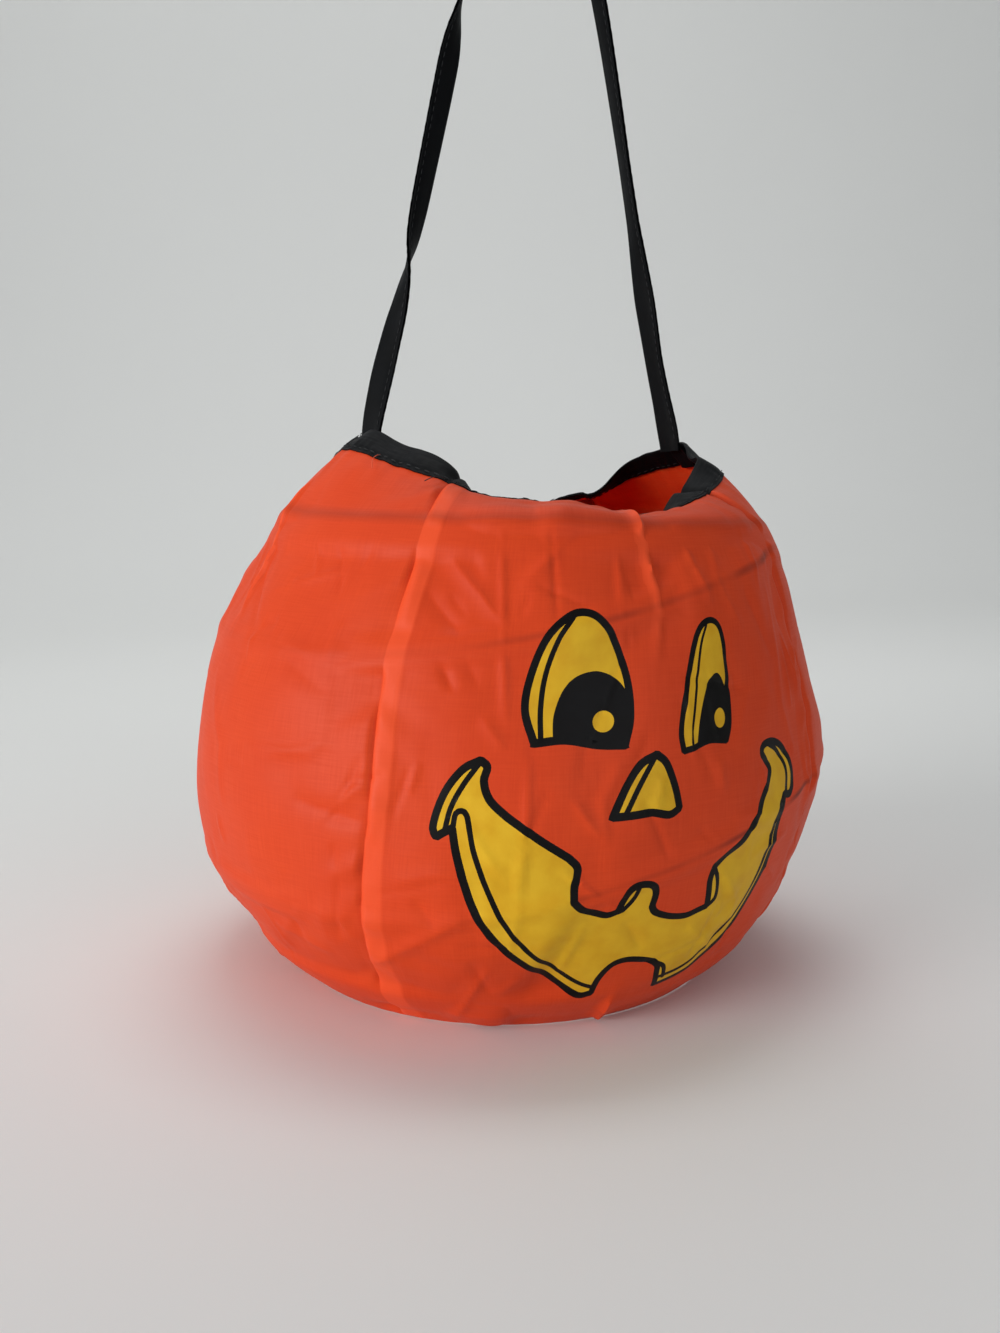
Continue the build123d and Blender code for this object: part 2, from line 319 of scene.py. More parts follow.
def from_line(across, along, line):
    """Distance to a line of points, which side it is on, and the share along it of the nearest place."""
    points = np.array(line)
    moves = np.hypot(*(points[1:] - points[:-1]).T) > 0
    points = np.concatenate([points[:1], points[1:][moves]])
    lengths = np.hypot(*(points[1:] - points[:-1]).T)
    starts = np.concatenate([[0], np.cumsum(lengths)])
    nearest = np.full(across.shape, np.inf)
    side = np.zeros(across.shape)
    share = np.zeros(across.shape)
    for (x0, y0), (x1, y1), length, start in zip(points, points[1:], lengths, starts):
        run_x, run_y = (x1 - x0) / length, (y1 - y0) / length
        step = np.clip((across - x0) * run_x + (along - y0) * run_y, 0, length)
        off_x, off_y = across - x0 - step * run_x, along - y0 - step * run_y
        distance = np.hypot(off_x, off_y)
        closer = distance < nearest
        nearest = np.where(closer, distance, nearest)
        side = np.where(closer, np.sign(off_x * run_y - off_y * run_x), side)
        share = np.where(closer, (start + step) / starts[-1], share)
    return nearest, side, share


# Pressed folds of the front and left gores: longitude and height of their points, height of the fold and
# its width, in millimetres
pressed_folds = [
    ([(-23.5, 168), (-23.2, 137), (-22.9, 112)], 0.9, 3.2),
    ([(-19.4, 102), (-19.8, 85), (-20.8, 58)], 0.7, 3.0),
    ([(-2.2, 163), (-4.0, 133)], 0.8, 4.0),
    ([(-33, 160), (-27, 149), (-23.6, 141)], 1.2, 6.0),
    ([(-37, 150), (-31, 139), (-27, 122)], -1.0, 6.0),
    ([(-33.5, 131), (-31.0, 121)], -1.0, 4.0),
    ([(-36.5, 57), (-33.5, 48)], -0.9, 4.5),
    ([(-46, 28), (-37, 42), (-29, 53)], 1.1, 5.5),
    ([(-40, 62), (-33, 66), (-24, 64)], 0.7, 6.0),
    ([(-13, 89), (-9, 77)], 0.8, 4.0),
    ([(-5.5, 100), (-8.5, 88), (-8, 74)], 0.6, 4.0),
    ([(-21, 76), (-21.3, 58)], 0.5, 2.4),
    ([(-10, 47), (-13.5, 26)], 0.8, 4.0),
    ([(-3, 46), (2, 33)], -0.6, 4.5),
    ([(10, 41), (20, 27)], 0.9, 5.0),
    ([(14, 60), (20, 47), (21, 35)], 0.7, 4.5),
    ([(-63, 168), (-59.5, 152)], 0.8, 3.2),
    ([(-78, 154), (-71, 131)], -1.0, 4.5),
    ([(-65, 149), (-53, 155)], 0.9, 4.5),
    ([(-58, 84), (-44, 79)], -1.3, 7.0),
    ([(-67, 94), (-50, 104)], 0.6, 6.0),
    ([(-84, 118), (-77, 96), (-78, 74)], 0.6, 6.0),
    ([(-62, 128), (-52, 118)], -0.7, 6.0),
    ([(-71, 36), (-55, 30)], 0.7, 6.0),
    ([(-76, 20), (-56, 52)], 0.6, 7.0),
    ([(24, 150), (29, 126)], -0.9, 6.0),
    ([(12, 166), (14, 145)], 0.8, 4.5),
    ([(20, 166), (17, 152), (21, 136)], 0.6, 4.5),
    ([(33, 150), (30, 110), (34, 92)], 0.7, 5.0),
]

# Small creases strewn over the cloth, mostly upright: lengths, heights and widths in millimetres
crease_seed = 31
crease_count = 240
crease_middles = (12, 165)
crease_ends = (2, 168)
crease_lengths = (8, 34)
crease_heights = (0.25, 0.8)
crease_widths = (2.0, 5.2)
crease_slant_spread = 0.55
crease_slants = (0, 0, 1.2)


def strewn_creases():
    """Random short creases, as lines with their height and width."""
    rng = np.random.default_rng(crease_seed)
    creases = []
    for _ in range(crease_count):
        longitude, height = rng.uniform(-180, 180), rng.uniform(*crease_middles)
        length = rng.uniform(*crease_lengths)
        slant = rng.normal(0, crease_slant_spread) + rng.choice(crease_slants)
        half_across = length / 2 * math.sin(slant) * MM / belly_degree
        half_up = length / 2 * math.cos(slant)
        low_end = (longitude - half_across, max(height - half_up, crease_ends[0]))
        high_end = (longitude + half_across, min(height + half_up, crease_ends[1]))
        rise = rng.choice([-1, 1]) * rng.uniform(*crease_heights)
        creases.append(([low_end, high_end], rise, rng.uniform(*crease_widths)))
    return creases


fold_lines = [(on_gore(line), height, width) for line, height, width in pressed_folds]
fold_lines += [(on_flat(line), height, width) for line, height, width in strewn_creases()]


def fold_relief(across, along, line, height, width):
    """A fold along a line, sharp on the line and gone at its width, which dies away at both ends."""
    distance, _, share = from_line(across, along, line)
    ends = np.sqrt(np.clip(4 * share * (1 - share), 0, 1))
    return height * MM * ends * np.clip(1 - distance / (width * MM), 0, 1) ** 2


# Crumpled facets, broad and fine: their size, tilt and seed, and how long they are for their width, how much
# less they tilt along the cloth, and how soft the creases between them are for their size
facet_kinds = [(34 * MM, 0.034, 41), (15 * MM, 0.018, 42)]
facet_stretch = 1.5
facet_tilt_along = 0.7
facet_softness = 0.1
facet_blend_reach = 5


def facet_relief(across, along, size, tilt, seed):
    """Cloth crumpled into flat facets, each tilted a little, with soft creases between them."""
    chance = np.random.default_rng(seed)
    width, length = FULL_TURN * belly_radius, body_run + crown_room
    count = round(width * length / (size * size * facet_stretch))
    middle_x, middle_y = chance.uniform(-width / 2, width / 2, count), chance.uniform(0, length, count)
    slope_x, slope_y = chance.normal(0, tilt, count), chance.normal(0, tilt * facet_tilt_along, count)
    total, weights = np.zeros(across.shape), np.zeros(across.shape)
    gaps = []
    for x, y in zip(middle_x, middle_y):
        off = (across - x + width / 2) % width - width / 2
        gaps.append(np.hypot(off, (along - y) / facet_stretch))
    nearest = np.min(gaps, axis=0)
    softness = size * facet_softness
    for gap, x, y, run_x, run_y in zip(gaps, middle_x, middle_y, slope_x, slope_y):
        close = gap < nearest + facet_blend_reach * softness
        off = (across[close] - x + width / 2) % width - width / 2
        weight = np.exp(-(gap[close] - nearest[close]) / softness)
        total[close] += weight * (off * run_x + (along[close] - y) * run_y)
        weights[close] += weight
    return total / weights


# Each gore is gathered by a tuck at the middle of its top, and pinched at the middle of its foot. Both are
# steep on their left and slope away on their right. Heights and widths are in millimetres, and the shares
# along the line say where the fold starts and where it dies away.
gather_middles = (-180, -90, 0, 90, 180)
steepness = 2.5
tuck_points = [(3.4, 166), (3.7, 152), (3.5, 143), (0.8, 122)]
tuck_top = body_run + 40 * MM
tuck_height = 2.1
tuck_width = 7.0
tuck_strip_width = 4.5
tuck_start = (0.2, 0.36)
tuck_end = (0.55, 1)
pinch_points = [(-0.6, 2), (-1.2, 10), (-0.4, 22)]
pinch_height = 2.0
pinch_width = 10.0
pinch_end = (0.35, 1)
tuck_line = on_gore(tuck_points)
tuck_line = [(tuck_line[0][0], tuck_top)] + tuck_line
pinch_line = on_gore(pinch_points)


def steep_fold(across, along, line, width):
    """Share along a line that is steep on its left, and nearness to it: 1 on it and 0 at its width."""
    distance, side, share = from_line(across, along, line)
    reach = np.where(side > 0, width, width / steepness) * MM
    return share, np.clip(1 - distance / reach, 0, 1)


def tuck_nearness(across, along, width):
    """Strength of a gore's sewn tuck, and nearness to it, by distance across from the gore's middle."""
    share, near = steep_fold(across, along, tuck_line, width)
    return smoothstep(*tuck_start, share) * (1 - smoothstep(*tuck_end, share)), near


def gather_relief(across, along):
    """A gore's tuck and pinch, by distance across from the gore's middle."""
    strength, near = tuck_nearness(across, along, tuck_width)
    share, near_pinch = steep_fold(across, along, pinch_line, pinch_width)
    tuck = tuck_height * MM * strength * near**2
    return tuck + pinch_height * MM * (1 - smoothstep(*pinch_end, share)) * near_pinch**2


# Seams: the groove, the doubled cloth beside it, whose edge wavers, and the puckers that the stitches draw
seam_allowance = 7.7 * MM
seam_groove = 0.9 * MM
seam_groove_width = 1.0 * MM
strip_lift = 0.22 * MM
strip_fade = 1.2 * MM
strip_rise_width = 0.9 * MM
strip_fall_width = 1.6 * MM
strip_waver = 0.15
strip_wave = (18 * MM, 16, 120)
pucker_height = 0.8 * MM
pucker_start = 2 * MM
pucker_reach = 9 * MM
pucker_slant = 0.5
pucker_waves = [(6.5 * MM, 60, 100), (19 * MM, 30, 130)]


def seam_relief(longitude, travel, out):
    """Relief of the four seams."""
    relief = np.zeros(longitude.shape)
    for number, seam in enumerate(seam_longitudes):
        beside = np.radians(around(longitude - seam)) * out
        relief -= seam_groove * bump_at(beside, seam_groove_width)
        edge = seam_allowance * (1 + strip_waver * wavering(travel, strip_wave, number))
        strip = smoothstep(0, strip_rise_width, beside)
        relief += strip_lift * strip * (1 - smoothstep(-strip_fall_width, 0, beside - edge))
        reach = np.abs(beside)
        near = np.exp(-reach / pucker_reach) * smoothstep(0, pucker_start, reach)
        for sign in (-1, 1):
            slanted = travel + pucker_slant * reach
            waver = sum(wavering(slanted, wave, 2 * number + (sign > 0)) for wave in pucker_waves)
            relief += pucker_height * waver * near * (np.sign(beside) == sign)
    return relief


# The wire lifts the cloth where it lies under it, holds it up, and between its turns the cloth sags in
wire_lift = 0.75 * MM
wire_lift_width = 3.2 * MM
wire_sag = 1.5 * MM
wire_ease = 4 * MM
wire_hold = 0.3 * MM
wire_hold_width = 5 * MM
ring_lift = 0.6 * MM
ring_lift_width = 3 * MM
ring_hold_width = 6 * MM
hold_power = 4


def wire_relief(longitude, up):
    """Lift and sag of the cloth over the wire."""
    turns = wire_turns(around(longitude), up)
    off_turn = turns - np.round(turns)
    below_top = 1 - smoothstep(spiral_top, spiral_top + wire_ease, up)
    in_spiral = smoothstep(spiral_bottom - wire_ease, spiral_bottom, up) * below_top
    lift = wire_lift * bump_at(off_turn * wire_pitch(up), wire_lift_width)
    sag = wire_sag * np.sin(np.pi * off_turn) ** 2
    rings = sum(bump_at(up - ring, ring_lift_width) for ring in (spiral_top + ring_climb, spiral_bottom))
    return in_spiral * (lift - sag) + ring_lift * rings


def wire_nearness(longitude, height):
    """1 where the wire lies under the cloth, falling to 0 beside it."""
    turns = wire_turns(around(longitude), height)
    beside = (turns - np.round(turns)) * wire_pitch(height)
    near = bump_at(beside, wire_hold_width, hold_power)
    for ring in (spiral_top, spiral_bottom):
        near = np.maximum(near, bump_at(height - ring, ring_hold_width, hold_power))
    return near


# Broad waves of the slack cloth: the strength of each, and for its one or two sines the waves in a turn, the
# rate along the cloth and the phase
slack_height = 0.55 * MM
slack_start = 25 * MM
slack_waves = [
    (1.0, [(3, 40, 0.6)]),
    (0.8, [(5, -55, 2.1)]),
    (0.7, [(9, 31, 1.0), (2, 80, 0)]),
    (0.5, [(14, -90, 0), (3, 47, 1.3)]),
]


def slack_relief(longitude, travel):
    """Broad unevenness of the slack cloth."""
    turn = np.radians(longitude)
    height = np.zeros(longitude.shape)
    for strength, sines in slack_waves:
        waves = [np.sin(count * turn + rate * travel + phase) for count, rate, phase in sines]
        height += strength * np.prod(waves, axis=0)
    return slack_height * height * smoothstep(0, slack_start, travel)


# The bound edge of the mouth curls in and out, and the cloth below it is gathered: the height of each wave
# in millimetres, the waves in a turn, the phase, and for the gathers how far a slower wave shifts them
mouth_curls = [(1.5, 13, 0.7), (1.0, 7, 2.4)]
curl_reach = 17 * MM
mouth_gathers = [(0.2, 38, 0, 2), (0.1, 61, 1.5, 0)]
gather_shift_waves = 5
gather_start = (2 * MM, 10 * MM)
gather_end = (12 * MM, 30 * MM)


def mouth_relief(longitude, travel):
    """Curls and gathers of the mouth."""
    turn = np.radians(longitude)
    below = mouth_travel(longitude) - travel
    shift = np.sin(gather_shift_waves * turn)
    curl = sum(height * np.sin(count * turn + phase) for height, count, phase in mouth_curls)
    gather = sum(h * np.sin(count * turn + phase + s * shift) for h, count, phase, s in mouth_gathers)
    gathered = smoothstep(*gather_start, below) * (1 - smoothstep(*gather_end, below))
    return MM * (curl * (1 - smoothstep(0, curl_reach, below)) + gather * gathered)


# The crown sinks at the front and back, between the strap's feet, by longitude, in millimetres. It does so
# in two steps past the shoulder, each with its share.
crest_longitudes = (-180, -160, -130, -108, -60, -45, -33, -22, -8, 10, 30, 60, 106, 120, 132, 143, 156, 180)
crest_drops = (2.4, 2.2, 0.6, 0, 0, 0.5, 1.8, 3.0, 3.3, 2.2, 0.8, 0, 0, 1.5, 3.4, 4.2, 3.0, 2.4)
crest_steps = [(3 * MM, 14 * MM, 1.0), (14 * MM, 32 * MM, 0.9)]

# Share of the crumpling at each longitude: the left gore is pulled smoother than the others
calm_longitudes = (-180, -135, -120, -60, -45, -30, 30, 45, 180)
calm_shares = (0.8, 0.8, 0.55, 0.55, 0.8, 1.0, 0.9, 0.8, 0.8)

# Run of the cloth above the base's seam over which the relief comes in
base_hold = (-1 * MM, 5 * MM)


def relief(longitude, travel):
    """Height of the cloth's relief over the plain body."""
    out, up = meridian(longitude, travel)
    turned = around(longitude)
    across = turned * belly_degree
    height = seam_relief(longitude, travel, out) + wire_relief(longitude, up)
    height += slack_relief(longitude, travel) + mouth_relief(longitude, travel)
    facets = sum(facet_relief(across, travel, *kind) for kind in facet_kinds)
    height += facets * np.interp(turned, calm_longitudes, calm_shares)
    for line, fold_height, width in fold_lines:
        height += fold_relief(across, travel, line, fold_height, width)
    for middle in gather_middles:
        height += gather_relief(across - middle * belly_degree, travel)
    height *= smoothstep(*base_hold, travel)
    held = wire_nearness(longitude, up)
    height = height * (1 - held) + np.maximum(height, wire_hold) * held
    sunk = np.interp(turned, crest_longitudes, crest_drops) * MM
    past = travel - body_run
    return height - sunk * sum(share * smoothstep(low, high, past) for low, high, share in crest_steps)


# How far the seams wander from their straight run, in degrees: the front left one by height in millimetres,
# the front right one above its foot, and those behind in random waves
seam_wander_heights = (0, 22, 42, 59, 83, 112, 130, 153, 172)
seam_wander = (-4.5, -3.4, -0.6, -1.1, 1.6, 0.9, 0.0, 0.8, 0.6)
seam_wander_steps = (-14, -7, 0, 7, 14)
wander_reach = 9
right_seam_wander = -5
right_wander_start = (20 * MM, 60 * MM)
right_wander_reach = 8
back_wander = 1.6
back_wander_wave = (32 * MM, 12, 300)


def wander(longitude, travel):
    """Turn of the cloth beside the seams, which don't run quite straight."""
    _, up = meridian(longitude, travel)
    turn = np.zeros(longitude.shape)
    for number, seam in enumerate(seam_longitudes):
        reach = wander_reach
        if seam == front_right_seam:
            by_height = right_seam_wander * smoothstep(*right_wander_start, up)
            reach = right_wander_reach
        elif seam == front_left_seam:
            heights = [up / MM + step for step in seam_wander_steps]
            by_height = sum(np.interp(height, seam_wander_heights, seam_wander) for height in heights)
            by_height /= len(heights)
        else:
            by_height = back_wander * wavering(travel, back_wander_wave, number)
        turn += by_height * bump_at(around(longitude - seam), reach)
    return turn


# Steps across and along the cloth by which its outward direction is found
outward_turn = 0.2
outward_stride = 0.4 * MM


def on_cloth(longitude, travel, lift=0.0):
    """Points on the outside of the sewn cloth, or a lift above it."""
    longitude, travel = np.broadcast_arrays(np.asarray(longitude, float), np.asarray(travel, float))
    moved = longitude + wander(longitude, travel)
    east = on_body(moved + outward_turn, travel) - on_body(moved - outward_turn, travel)
    north = on_body(moved, travel + outward_stride) - on_body(moved, travel - outward_stride)
    height = relief(longitude, travel) + lift
    return hung(on_body(moved, travel) + unit(np.cross(east, north)) * height[..., None])


# Sheets and pieces


sharp_angle = math.radians(50)


def new_piece(name, points, faces):
    """A new mesh piece from points and faces."""
    mesh = bpy.data.meshes.new(name)
    mesh.from_pydata(points.tolist(), [], faces)
    mesh.update()
    piece = bpy.data.objects.new(name, mesh)
    bpy.context.scene.collection.objects.link(piece)
    return piece


def select_only(piece):
    """Makes a piece the only selected and active one."""
    bpy.ops.object.select_all(action="DESELECT")
    piece.select_set(True)
    bpy.context.view_layer.objects.active = piece


def grid_sheet(name, columns, rows, place):
    """A grid of cloth whose points go where place puts their shares across and along, and those shares."""
    bpy.ops.object.select_all(action="DESELECT")
    bpy.ops.mesh.primitive_grid_add(x_subdivisions=columns, y_subdivisions=rows, size=1)
    piece = bpy.context.object
    piece.name = name
    piece.data.name = name
    shares = np.zeros(len(piece.data.vertices) * 3)
    piece.data.vertices.foreach_get("co", shares)
    shares = shares.reshape(-1, 3)[:, :2] + 0.5
    piece.data.vertices.foreach_set("co", place(shares[:, 0], shares[:, 1]).ravel())
    piece.data.update()
    return piece, shares


def thicken(piece, thickness, outward=-1.0, inside_slot=0):
    """Gives a sheet its thickness, to the inside unless outward says otherwise."""
    select_only(piece)
    solid = piece.modifiers.new("thickness", "SOLIDIFY")
    solid.thickness = thickness
    solid.offset = outward
    solid.use_even_offset = True
    solid.material_offset = inside_slot
    bpy.ops.object.modifier_apply(modifier=solid.name)


def weld(piece, threshold, turn_faces=False):
    """Joins points that lie together, and turns all faces outward where asked."""
    select_only(piece)
    bpy.ops.object.mode_set(mode="EDIT")
    bpy.ops.mesh.select_all(action="SELECT")
    bpy.ops.mesh.remove_doubles(threshold=threshold)
    if turn_faces:
        bpy.ops.mesh.normals_make_consistent(inside=False)
    bpy.ops.object.mode_set(mode="OBJECT")


def smooth(piece):
    """Smooth shading but for sharp edges."""
    select_only(piece)
    bpy.ops.object.shade_smooth_by_angle(angle=sharp_angle)


def set_attribute(piece, name, values):
    """Writes one number for each point of a piece."""
    attribute = piece.data.attributes.new(name, "FLOAT", "POINT")
    attribute.data.foreach_set("value", np.asarray(values, np.float32))


def set_uv(piece, places):
    """Gives a piece a UV map with each point's place on the flat cloth, in metres."""
    layers = piece.data.uv_layers
    if not layers:
        layers.new(name="flat_cloth")
    layers.active.name = "flat_cloth"
    corners = np.zeros(len(piece.data.loops), np.int32)
    piece.data.loops.foreach_get("vertex_index", corners)
    layers.active.data.foreach_set("uv", np.asarray(places, np.float32)[corners].ravel())


def mark_unwired(piece):
    """Gives cloth that shows no seam strip and no painted wire shadow the marks that its material reads."""
    count = len(piece.data.vertices)
    for name in ("wire_turns", "wire_pitch", "ring_gap", "seam_gap"):
        set_attribute(piece, name, np.ones(count))
    set_attribute(piece, "wire_shadow_strength", np.zeros(count))


def on_spring(piece, body="pail"):
    """Rides a piece on a body, with a mesh of its own."""
    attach(piece, body)
    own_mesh(piece)


# Materials


def set_inputs(tree, node, inputs):
    """Sets each of a node's inputs, or links it to the output that it is given."""
    for name, value in inputs.items():
        if isinstance(value, bpy.types.NodeSocket):
            tree.links.new(value, node.inputs[name])
        else:
            node.inputs[name].default_value = value


def add_node(tree, kind, inputs, output=0, **settings):
    """Adds a node with its settings, sets or links its inputs, and gives one of its outputs."""
    node = tree.nodes.new(kind)
    for name, value in settings.items():
        setattr(node, name, value)
    set_inputs(tree, node, inputs)
    return node.outputs[output]


def new_material(name):
    """A material, its node tree and its Principled shader."""
    material = bpy.data.materials.new(name)
    material.use_nodes = True
    return material, material.node_tree, material.node_tree.nodes["Principled BSDF"]


# Sizes of the taffeta's patterns. Its threads are too fine to show, so its slubs, which are the thick runs
# of a thread, are drawn coarser.
slub_width = 0.55 * MM
slub_length = 14 * MM
cloud_size = 45 * MM
# Size of the patches in the painted shadow of the wire, and the widths of that painted shadow on the spiral
# and on the top ring
shadow_patch_size = 22 * MM
wire_shadow_core = 0.3 * MM
wire_shadow_fade = 1.6 * MM
ring_shadow_fade = 3.6 * MM
strip_start = 0.5 * MM
strip_share = 0.6


def seam_strip(tree):
    """Share of the paler colour where a seam or a tuck doubles the cloth."""
    gap = add_node(tree, "ShaderNodeAttribute", {}, 2, attribute_name="seam_gap")
    rise = add_node(tree, "ShaderNodeMapRange", {0: gap, 1: 0.0, 2: strip_start, 3: 0.0, 4: strip_share})
    fade = {1: seam_allowance - strip_fade, 2: seam_allowance, 3: 1.0, 4: 0.0}
    fall = add_node(tree, "ShaderNodeMapRange", {0: gap, **fade})
    return add_node(tree, "ShaderNodeMath", {0: rise, 1: fall}, operation="MULTIPLY")


def wire_shadow(tree, flat):
    """Share of the painted shadow colour where the wire lies behind the cloth: a patchy painted shadow line
    on the spiral, and a soft painted shade line on the top ring."""
    names = ("wire_turns", "wire_pitch", "wire_shadow_strength", "ring_gap")
    marks = [add_node(tree, "ShaderNodeAttribute", {}, 2, attribute_name=name) for name in names]
    turns, pitch, seen, ring_gap = marks
    shifted = add_node(tree, "ShaderNodeMath", {0: turns, 1: 0.5}, operation="ADD")
    within = add_node(tree, "ShaderNodeMath", {0: shifted}, operation="FRACT")
    centred = add_node(tree, "ShaderNodeMath", {0: within, 1: 0.5}, operation="SUBTRACT")
    off_turn = add_node(tree, "ShaderNodeMath", {0: centred}, operation="ABSOLUTE")
    gap = add_node(tree, "ShaderNodeMath", {0: off_turn, 1: pitch}, operation="MULTIPLY")
    line = add_node(tree, "ShaderNodeMapRange", {0: gap, 1: wire_shadow_core, 2: wire_shadow_fade, 3: 0.9, 4: 0.0})
    patch = add_node(tree, "ShaderNodeTexNoise", {"Vector": flat, "Scale": 1 / shadow_patch_size, "Detail": 1.0})
    shadow_patch = add_node(tree, "ShaderNodeMapRange", {0: patch, 1: 0.35, 2: 0.65, 3: 0.08, 4: 0.55})
    pressed = add_node(tree, "ShaderNodeMath", {0: line, 1: shadow_patch}, operation="MULTIPLY")
    spiral = add_node(tree, "ShaderNodeMath", {0: pressed, 1: seen}, operation="MULTIPLY")
    away = add_node(tree, "ShaderNodeMath", {0: ring_gap}, operation="ABSOLUTE")
    ring = add_node(tree, "ShaderNodeMapRange", {0: away, 1: wire_shadow_core, 2: ring_shadow_fade, 3: 0.34, 4: 0.0})
    return add_node(tree, "ShaderNodeMath", {0: spiral, 1: ring}, operation="MAXIMUM")


def orange_taffeta(name, dark, light, cloud, glow=0.0):
    """Thin polyester taffeta, dyed and calendered: a dry even orange with a faint slub, a soft sheen, a
    paler band where a seam or a tuck doubles it, and a painted shadow line where the wire lies behind it."""
    material, tree, shader = new_material(name)
    flat = add_node(tree, "ShaderNodeUVMap", {}, uv_map="flat_cloth")
    slubs = []
    for across, along in ((slub_length, slub_width), (slub_width, slub_length)):
        drawn = add_node(tree, "ShaderNodeMapping", {0: flat, 3: (1 / across, 1 / along, 1)})
        slubs.append(add_node(tree, "ShaderNodeTexNoise", {"Vector": drawn, "Scale": 1.0, "Detail": 2.0}))
    slub = add_node(tree, "ShaderNodeMath", dict(enumerate(slubs)), operation="ADD")
    clouds = add_node(tree, "ShaderNodeTexNoise", {"Vector": flat, "Scale": 1 / cloud_size, "Detail": 3.0})
    # Each layer of colour: its share, and the colour that it brings
    layers = [
        (add_node(tree, "ShaderNodeMapRange", {0: slub, 1: 0.7, 2: 1.3, 3: 0.0, 4: 1.0}), light),
        (add_node(tree, "ShaderNodeMapRange", {0: clouds, 1: 0.35, 2: 0.7, 3: 0.0, 4: 0.35}), cloud),
        (seam_strip(tree), "#F0552A"),
        # Painted shadow of the wire and of its top ring, seen through the cloth
        (wire_shadow(tree, flat), "#7E2413"),
    ]
    colour = linear(dark)
    for share, added in layers:
        mixed = {0: share, 6: colour, 7: linear(added)}
        colour = add_node(tree, "ShaderNodeMix", mixed, 2, data_type="RGBA")
    dull = add_node(tree, "ShaderNodeMapRange", {0: slub, 1: 0.7, 2: 1.3, 3: 0.6, 4: 0.52})
    thread_relief = {"Strength": 0.25, "Distance": 0.05 * MM, "Height": slub}
    set_inputs(tree, shader, {
        "Base Color": colour,
        "Roughness": dull,
        "Normal": add_node(tree, "ShaderNodeBump", thread_relief),
        "Specular IOR Level": 0.2,
        "Sheen Weight": 0.04,
        "Sheen Roughness": 0.4,
        "Sheen Tint": linear("#FF9A70"),
        "Subsurface Weight": glow,
        "Subsurface Radius": (1.0, 0.75, 0.6),
        "Subsurface Scale": 1 * MM,
    })
    return material


def screen_ink(name, dark, light, roughness):
    """Plastisol ink screened on the cloth: a smooth rubbery film, opaque, with a low gloss that breaks at
    the creases."""
    material, tree, shader = new_material(name)
    film_size, pebble_size = 9 * MM, 0.7 * MM
    flat = add_node(tree, "ShaderNodeUVMap", {}, uv_map="flat_cloth")
    film = add_node(tree, "ShaderNodeTexNoise", {"Vector": flat, "Scale": 1 / film_size, "Detail": 4.0})
    pebble = add_node(tree, "ShaderNodeTexNoise", {"Vector": flat, "Scale": 1 / pebble_size, "Detail": 2.0})
    share = add_node(tree, "ShaderNodeMapRange", {0: film, 1: 0.35, 2: 0.65, 3: 0.0, 4: 1.0})
    mixed = {0: share, 6: linear(dark), 7: linear(light)}
    gloss = {0: film, 1: 0.3, 2: 0.7, 3: roughness, 4: roughness + 0.12}
    film_relief = {"Strength": 0.2, "Distance": 0.04 * MM, "Height": pebble}
    set_inputs(tree, shader, {
        "Base Color": add_node(tree, "ShaderNodeMix", mixed, 2, data_type="RGBA"),
        "Roughness": add_node(tree, "ShaderNodeMapRange", gloss),
        "Normal": add_node(tree, "ShaderNodeBump", film_relief),
        "Specular IOR Level": 0.14,
    })
    return material


def black_tape():
    """Black polyester lining tape, plain woven and pressed: near black with a cool sheen and fine cross
    threads, which are drawn coarser than they are so that they show."""
    material, tree, shader = new_material("black_polyester_tape")
    thread_width, thread_length, wear_size = 0.7 * MM, 6 * MM, 12 * MM
    flat = add_node(tree, "ShaderNodeUVMap", {}, uv_map="flat_cloth")
    drawn = add_node(tree, "ShaderNodeMapping", {0: flat, 3: (1 / thread_length, 1 / thread_width, 1)})
    weave = add_node(tree, "ShaderNodeTexNoise", {"Vector": drawn, "Scale": 1.0, "Detail": 3.0})
    wear = add_node(tree, "ShaderNodeTexNoise", {"Vector": flat, "Scale": 1 / wear_size, "Detail": 3.0})
    worn = add_node(tree, "ShaderNodeMath", {0: weave, 1: wear}, operation="MULTIPLY")
    share = add_node(tree, "ShaderNodeMapRange", {0: worn, 1: 0.15, 2: 0.4, 3: 0.0, 4: 1.0})
    mixed = {0: share, 6: linear("#030405"), 7: linear("#080A0D")}
    gloss = {0: weave, 1: 0.3, 2: 0.7, 3: 0.5, 4: 0.68}
    thread_relief = {"Strength": 0.4, "Distance": 0.06 * MM, "Height": weave}
    set_inputs(tree, shader, {
        "Base Color": add_node(tree, "ShaderNodeMix", mixed, 2, data_type="RGBA"),
        "Roughness": add_node(tree, "ShaderNodeMapRange", gloss),
        "Normal": add_node(tree, "ShaderNodeBump", thread_relief),
        "Specular IOR Level": 0.1,
        "Sheen Weight": 0.02,
        "Sheen Roughness": 0.45,
        "Sheen Tint": linear("#8A93A5"),
    })
    return material


def plain_finish(name, dark, light, grain, roughness, metallic=0.0):
    """A finish that varies between two colours and two roughnesses with a grain of the given size."""
    material, tree, shader = new_material(name)
    place = add_node(tree, "ShaderNodeTexCoord", {}, "Object")
    spots = add_node(tree, "ShaderNodeTexNoise", {"Vector": place, "Scale": 1 / grain, "Detail": 3.0})
    mixed = {0: spots, 6: linear(dark), 7: linear(light)}
    gloss = {0: spots, 1: 0.3, 2: 0.7, 3: roughness, 4: roughness + 0.15}
    set_inputs(tree, shader, {
        "Base Color": add_node(tree, "ShaderNodeMix", mixed, 2, data_type="RGBA"),
        "Roughness": add_node(tree, "ShaderNodeMapRange", gloss),
        "Metallic": metallic,
    })
    return material


orange_cloth = orange_taffeta("orange_taffeta", "#D03E14", "#D84518", "#C43512")
